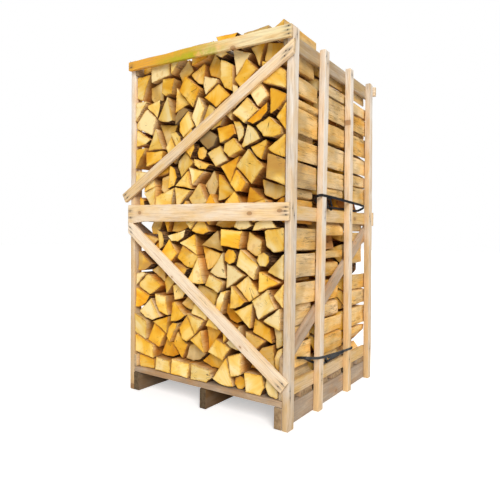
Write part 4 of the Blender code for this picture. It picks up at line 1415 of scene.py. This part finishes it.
# %% [markdown]
# ## The black straps
# Two plastic straps once held the load and now hang loosely round the slats. A strap is a thin band
# with a pressed diamond pattern, bent only the flat way. A curve with a thin rounded section
# follows each route, and Z Up keeps the band on edge. We could extrude a strip by hand, but the
# curve gives even bends from a few points.

# %% Strap plastic
def strap_finish():
    material, tree = start_material("black strap plastic")
    place = object_place(tree)
    scuffs = band(cloud(place, 260.0, 4.0, 0.7), 0.50, 0.72)
    dust = band(cloud(place, 45.0, 3.0, 0.6), 0.45, 0.80, 0.0, 0.25)
    colour = blend(dust, (0.006, 0.006, 0.007), (0.040, 0.034, 0.028))
    colour = blend(scuffs * 0.15, colour, (0.06, 0.06, 0.062))
    weave = add(tree, "TexVoronoi", {"Vector": place, "Scale": 520.0})["Distance"]
    surface(tree, colour, band(scuffs, 0.0, 1.0, 0.45, 0.70), 0.25, (0.35, 0.0003, weave))
    return material


strap_plastic = strap_finish()
STRAP_WIDE, STRAP_THICK = 0.0145, 0.0012

# %% A band along a route
def band_along(name, route, closed):
    """A flat band through the points of a route, as a mesh."""
    section = bpy.data.curves.new(name + "_section", "CURVE")
    spline = section.splines.new("POLY")
    w, t, c = STRAP_WIDE / 2, STRAP_THICK / 2, STRAP_THICK / 3
    outline = [(-t, -w + c), (-t, w - c), (-t + c, w), (t - c, w), (t, w - c), (t, -w + c),
               (t - c, -w), (-t + c, -w)]
    spline.points.add(len(outline) - 1)
    for point, (x, y) in zip(spline.points, outline):
        point.co = (x, y, 0, 1)
    spline.use_cyclic_u = True
    section_object = bpy.data.objects.new(name + "_section", section)
    curve = bpy.data.curves.new(name, "CURVE")
    curve.dimensions = "3D"
    curve.bevel_mode = "OBJECT"
    curve.bevel_object = section_object
    curve.twist_mode = "Z_UP"
    curve.use_fill_caps = not closed
    line = curve.splines.new("BEZIER")
    line.bezier_points.add(len(route) - 1)
    line.use_cyclic_u = closed
    line.resolution_u = 8
    for point, place in zip(line.bezier_points, route):
        point.co = place
        point.handle_left_type = point.handle_right_type = "AUTO"
    holder = bpy.data.objects.new(name, curve)
    bpy.context.scene.collection.objects.link(holder)
    bpy.context.view_layer.update()
    graph = bpy.context.evaluated_depsgraph_get()
    mesh = bpy.data.meshes.new_from_object(holder.evaluated_get(graph))
    bm = bmesh.new()
    bm.from_mesh(mesh)
    bmesh.ops.remove_doubles(bm, verts=bm.verts, dist=0.00005)
    bmesh.ops.recalc_face_normals(bm, faces=bm.faces)
    for thing in (holder, section_object):
        bpy.data.objects.remove(thing)
    bpy.data.meshes.remove(mesh)
    return bm


def join_into(bm, other):
    """Adds another bmesh to this one."""
    mesh = bpy.data.meshes.new("band")
    other.to_mesh(mesh)
    other.free()
    bm.from_mesh(mesh)
    bpy.data.meshes.remove(mesh)


def length_round(route):
    points = [Vector(p) for p in route]
    return sum((b - a).length for a, b in zip(points, points[1:] + points[:1]))


def hang(name, loop, end, node):
    """A strap from its closed loop and its loose end, which stands for a solid."""
    strap = band_along("loop", loop, True)
    join_into(strap, band_along("end", end, False))
    piece = settle(name, strap, [strap_plastic], 0.6)
    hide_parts(node)
    print(name, round(length_round(loop), 2), "m round")


# %% The upper strap, round a post and along the middle rail
out, inn = WIDTH / 2 + GAP + 0.0014, INNER - 0.010
rest = 0.012 / 2 + 0.004
z = RAIL_TOPS["middle"] + rest
upper_route = [(out, -0.200, 1.203), (out, -0.08, 1.200), (out, 0.08, 1.193), (out, 0.24, 1.186),
               (out - 0.001, 0.36, 1.180), (out - 0.012, 0.430, 1.172), (inn + 0.006, 0.448, 1.160),
               (inn, 0.38, z), (inn, 0.24, z), (inn, 0.08, z), (inn, -0.08, z),
               (inn, -0.17, z + 0.012), (inn, -0.226, z + 0.036), (inn + 0.012, -0.242, 1.190),
               (out - 0.012, -0.243, 1.200), (out, -0.230, 1.203)]
upper_tail = [(out, -0.150, 1.197), (out, -0.121, 1.188), (out, -0.106, 1.164),
              (out - 0.001, -0.092, 1.138), (out - 0.008, -0.088, 1.132),
              (out - 0.013, -0.100, 1.138), (out - 0.010, -0.130, 1.154),
              (out - 0.004, -0.160, 1.176)]
hang("strap_upper_band", upper_route, upper_tail, "strap_upper")

# %% The lower strap, round two posts and along the bottom rail
z = RAIL_TOPS["bottom"] + rest
lower_route = [(out, -0.215, 0.304), (out, -0.08, 0.292), (out, 0.08, 0.280), (out, 0.205, 0.273),
               (out, 0.250, 0.271), (out - 0.012, 0.263, 0.268), (inn + 0.012, 0.263, 0.262),
               (inn, 0.247, 0.256), (inn, 0.15, z + 0.004), (inn, 0.04, z), (inn, -0.08, z),
               (inn, -0.20, z + 0.030), (inn, -0.32, z + 0.080), (inn + 0.006, -0.410, 0.338),
               (out - 0.010, -0.418, 0.345), (out, -0.35, 0.330)]
lower_end = [(out - 0.001, -0.185, 0.300), (out, -0.150, 0.292), (out, -0.132, 0.276),
             (out - 0.002, -0.128, 0.262), (out - 0.010, -0.124, 0.268),
             (out - 0.006, -0.136, 0.290), (out, -0.100, 0.284), (out, -0.020, 0.276),
             (out, 0.060, 0.272), (out, 0.110, 0.272)]
hang("strap_lower_band", lower_route, lower_end, "strap_lower")

# %% [markdown]
# ## Floor, light and camera
# The crate is shown on a plain white floor in soft, even light, a little stronger from the right.
# A weaker lamp behind it fills the two sides that the first one doesn't reach.
# The white comes from the colour of the floor and of the world as the camera sees them, so the
# lamps can stay at a plain level, and the floor keeps a soft shadow.

# %% Floor
def floor_white():
    material, tree = start_material("studio floor")
    rays = add(tree, "LightPath")
    glow = sum_of("MAXIMUM", rays["Is Camera Ray"], rays["Is Glossy Ray"]) * 0.45
    shader = tree.nodes["Principled BSDF"]
    for name, value in (("Base Color", (0.86, 0.86, 0.87)), ("Roughness", 0.9),
                        ("Specular IOR Level", 0.0), ("Emission Color", (1, 1, 1)),
                        ("Emission Strength", glow)):
        put(value, shader.inputs[name])
    return material


bm = bmesh.new()
bmesh.ops.create_grid(bm, x_segments=1, y_segments=1, size=30.0)
mesh = bpy.data.meshes.new("floor")
bm.to_mesh(mesh)
bm.free()
mesh.materials.append(floor_white())
floor = bpy.data.objects.new("floor", mesh)
bpy.context.scene.collection.objects.link(floor)
print("floor laid")

# %% Soft light
world = bpy.data.worlds.new("studio")
bpy.context.scene.world = world
world.use_nodes = True
sky = world.node_tree
background = sky.nodes["Background"]
rays = add(sky, "LightPath")
seen = sum_of("MAXIMUM", rays["Is Camera Ray"], rays["Is Transmission Ray"])
put((1.0, 1.0, 1.0), background.inputs["Color"])
put(seen * 0.82 + 0.18, background.inputs["Strength"])


def soft_sun(name, energy, spread, towards, colour):
    """A lamp as large as spread degrees of the sky, in the direction of a vector."""
    lamp = bpy.data.lights.new(name, "SUN")
    lamp.energy = energy
    lamp.angle = math.radians(spread)
    lamp.color = colour
    sun = bpy.data.objects.new(name, lamp)
    sun.rotation_euler = Vector(towards).to_track_quat("Z", "Y").to_euler()
    bpy.context.scene.collection.objects.link(sun)


soft_sun("soft_sun", 3.08, 34, (0.62, -0.67, 0.55), (1.0, 0.985, 0.96))
soft_sun("back_fill", 1.7, 60, (-0.62, 0.67, 0.36), (1.0, 1.0, 1.0))
print("light set")

# %% Camera
turn, dip, lean = math.radians(34.35), math.radians(-1.86), math.radians(0.7277)
look = Vector((-math.sin(turn) * math.cos(dip), math.cos(turn) * math.cos(dip), math.sin(dip)))
level = Vector((math.cos(turn), math.sin(turn), 0))
up = level.cross(look)
right = math.cos(lean) * level + math.sin(lean) * up
up = math.cos(lean) * up - math.sin(lean) * level
lens = bpy.data.cameras.new("camera")
SENSOR_WIDE, LENS_WIDTHS = 36, 0.9442                    # millimetres, and sensor widths
lens.lens = LENS_WIDTHS * SENSOR_WIDE
lens.sensor_width = SENSOR_WIDE
camera = bpy.data.objects.new("camera", lens)
matrix = Matrix((right, up, -look)).transposed().to_4x4()
matrix.translation = Vector((1.7137, -2.5858, 0.9819)) + PLACE
camera.matrix_world = matrix
bpy.context.scene.collection.objects.link(camera)
bpy.context.scene.camera = camera
bpy.context.scene.view_settings.view_transform = "Standard"
print("camera placed")
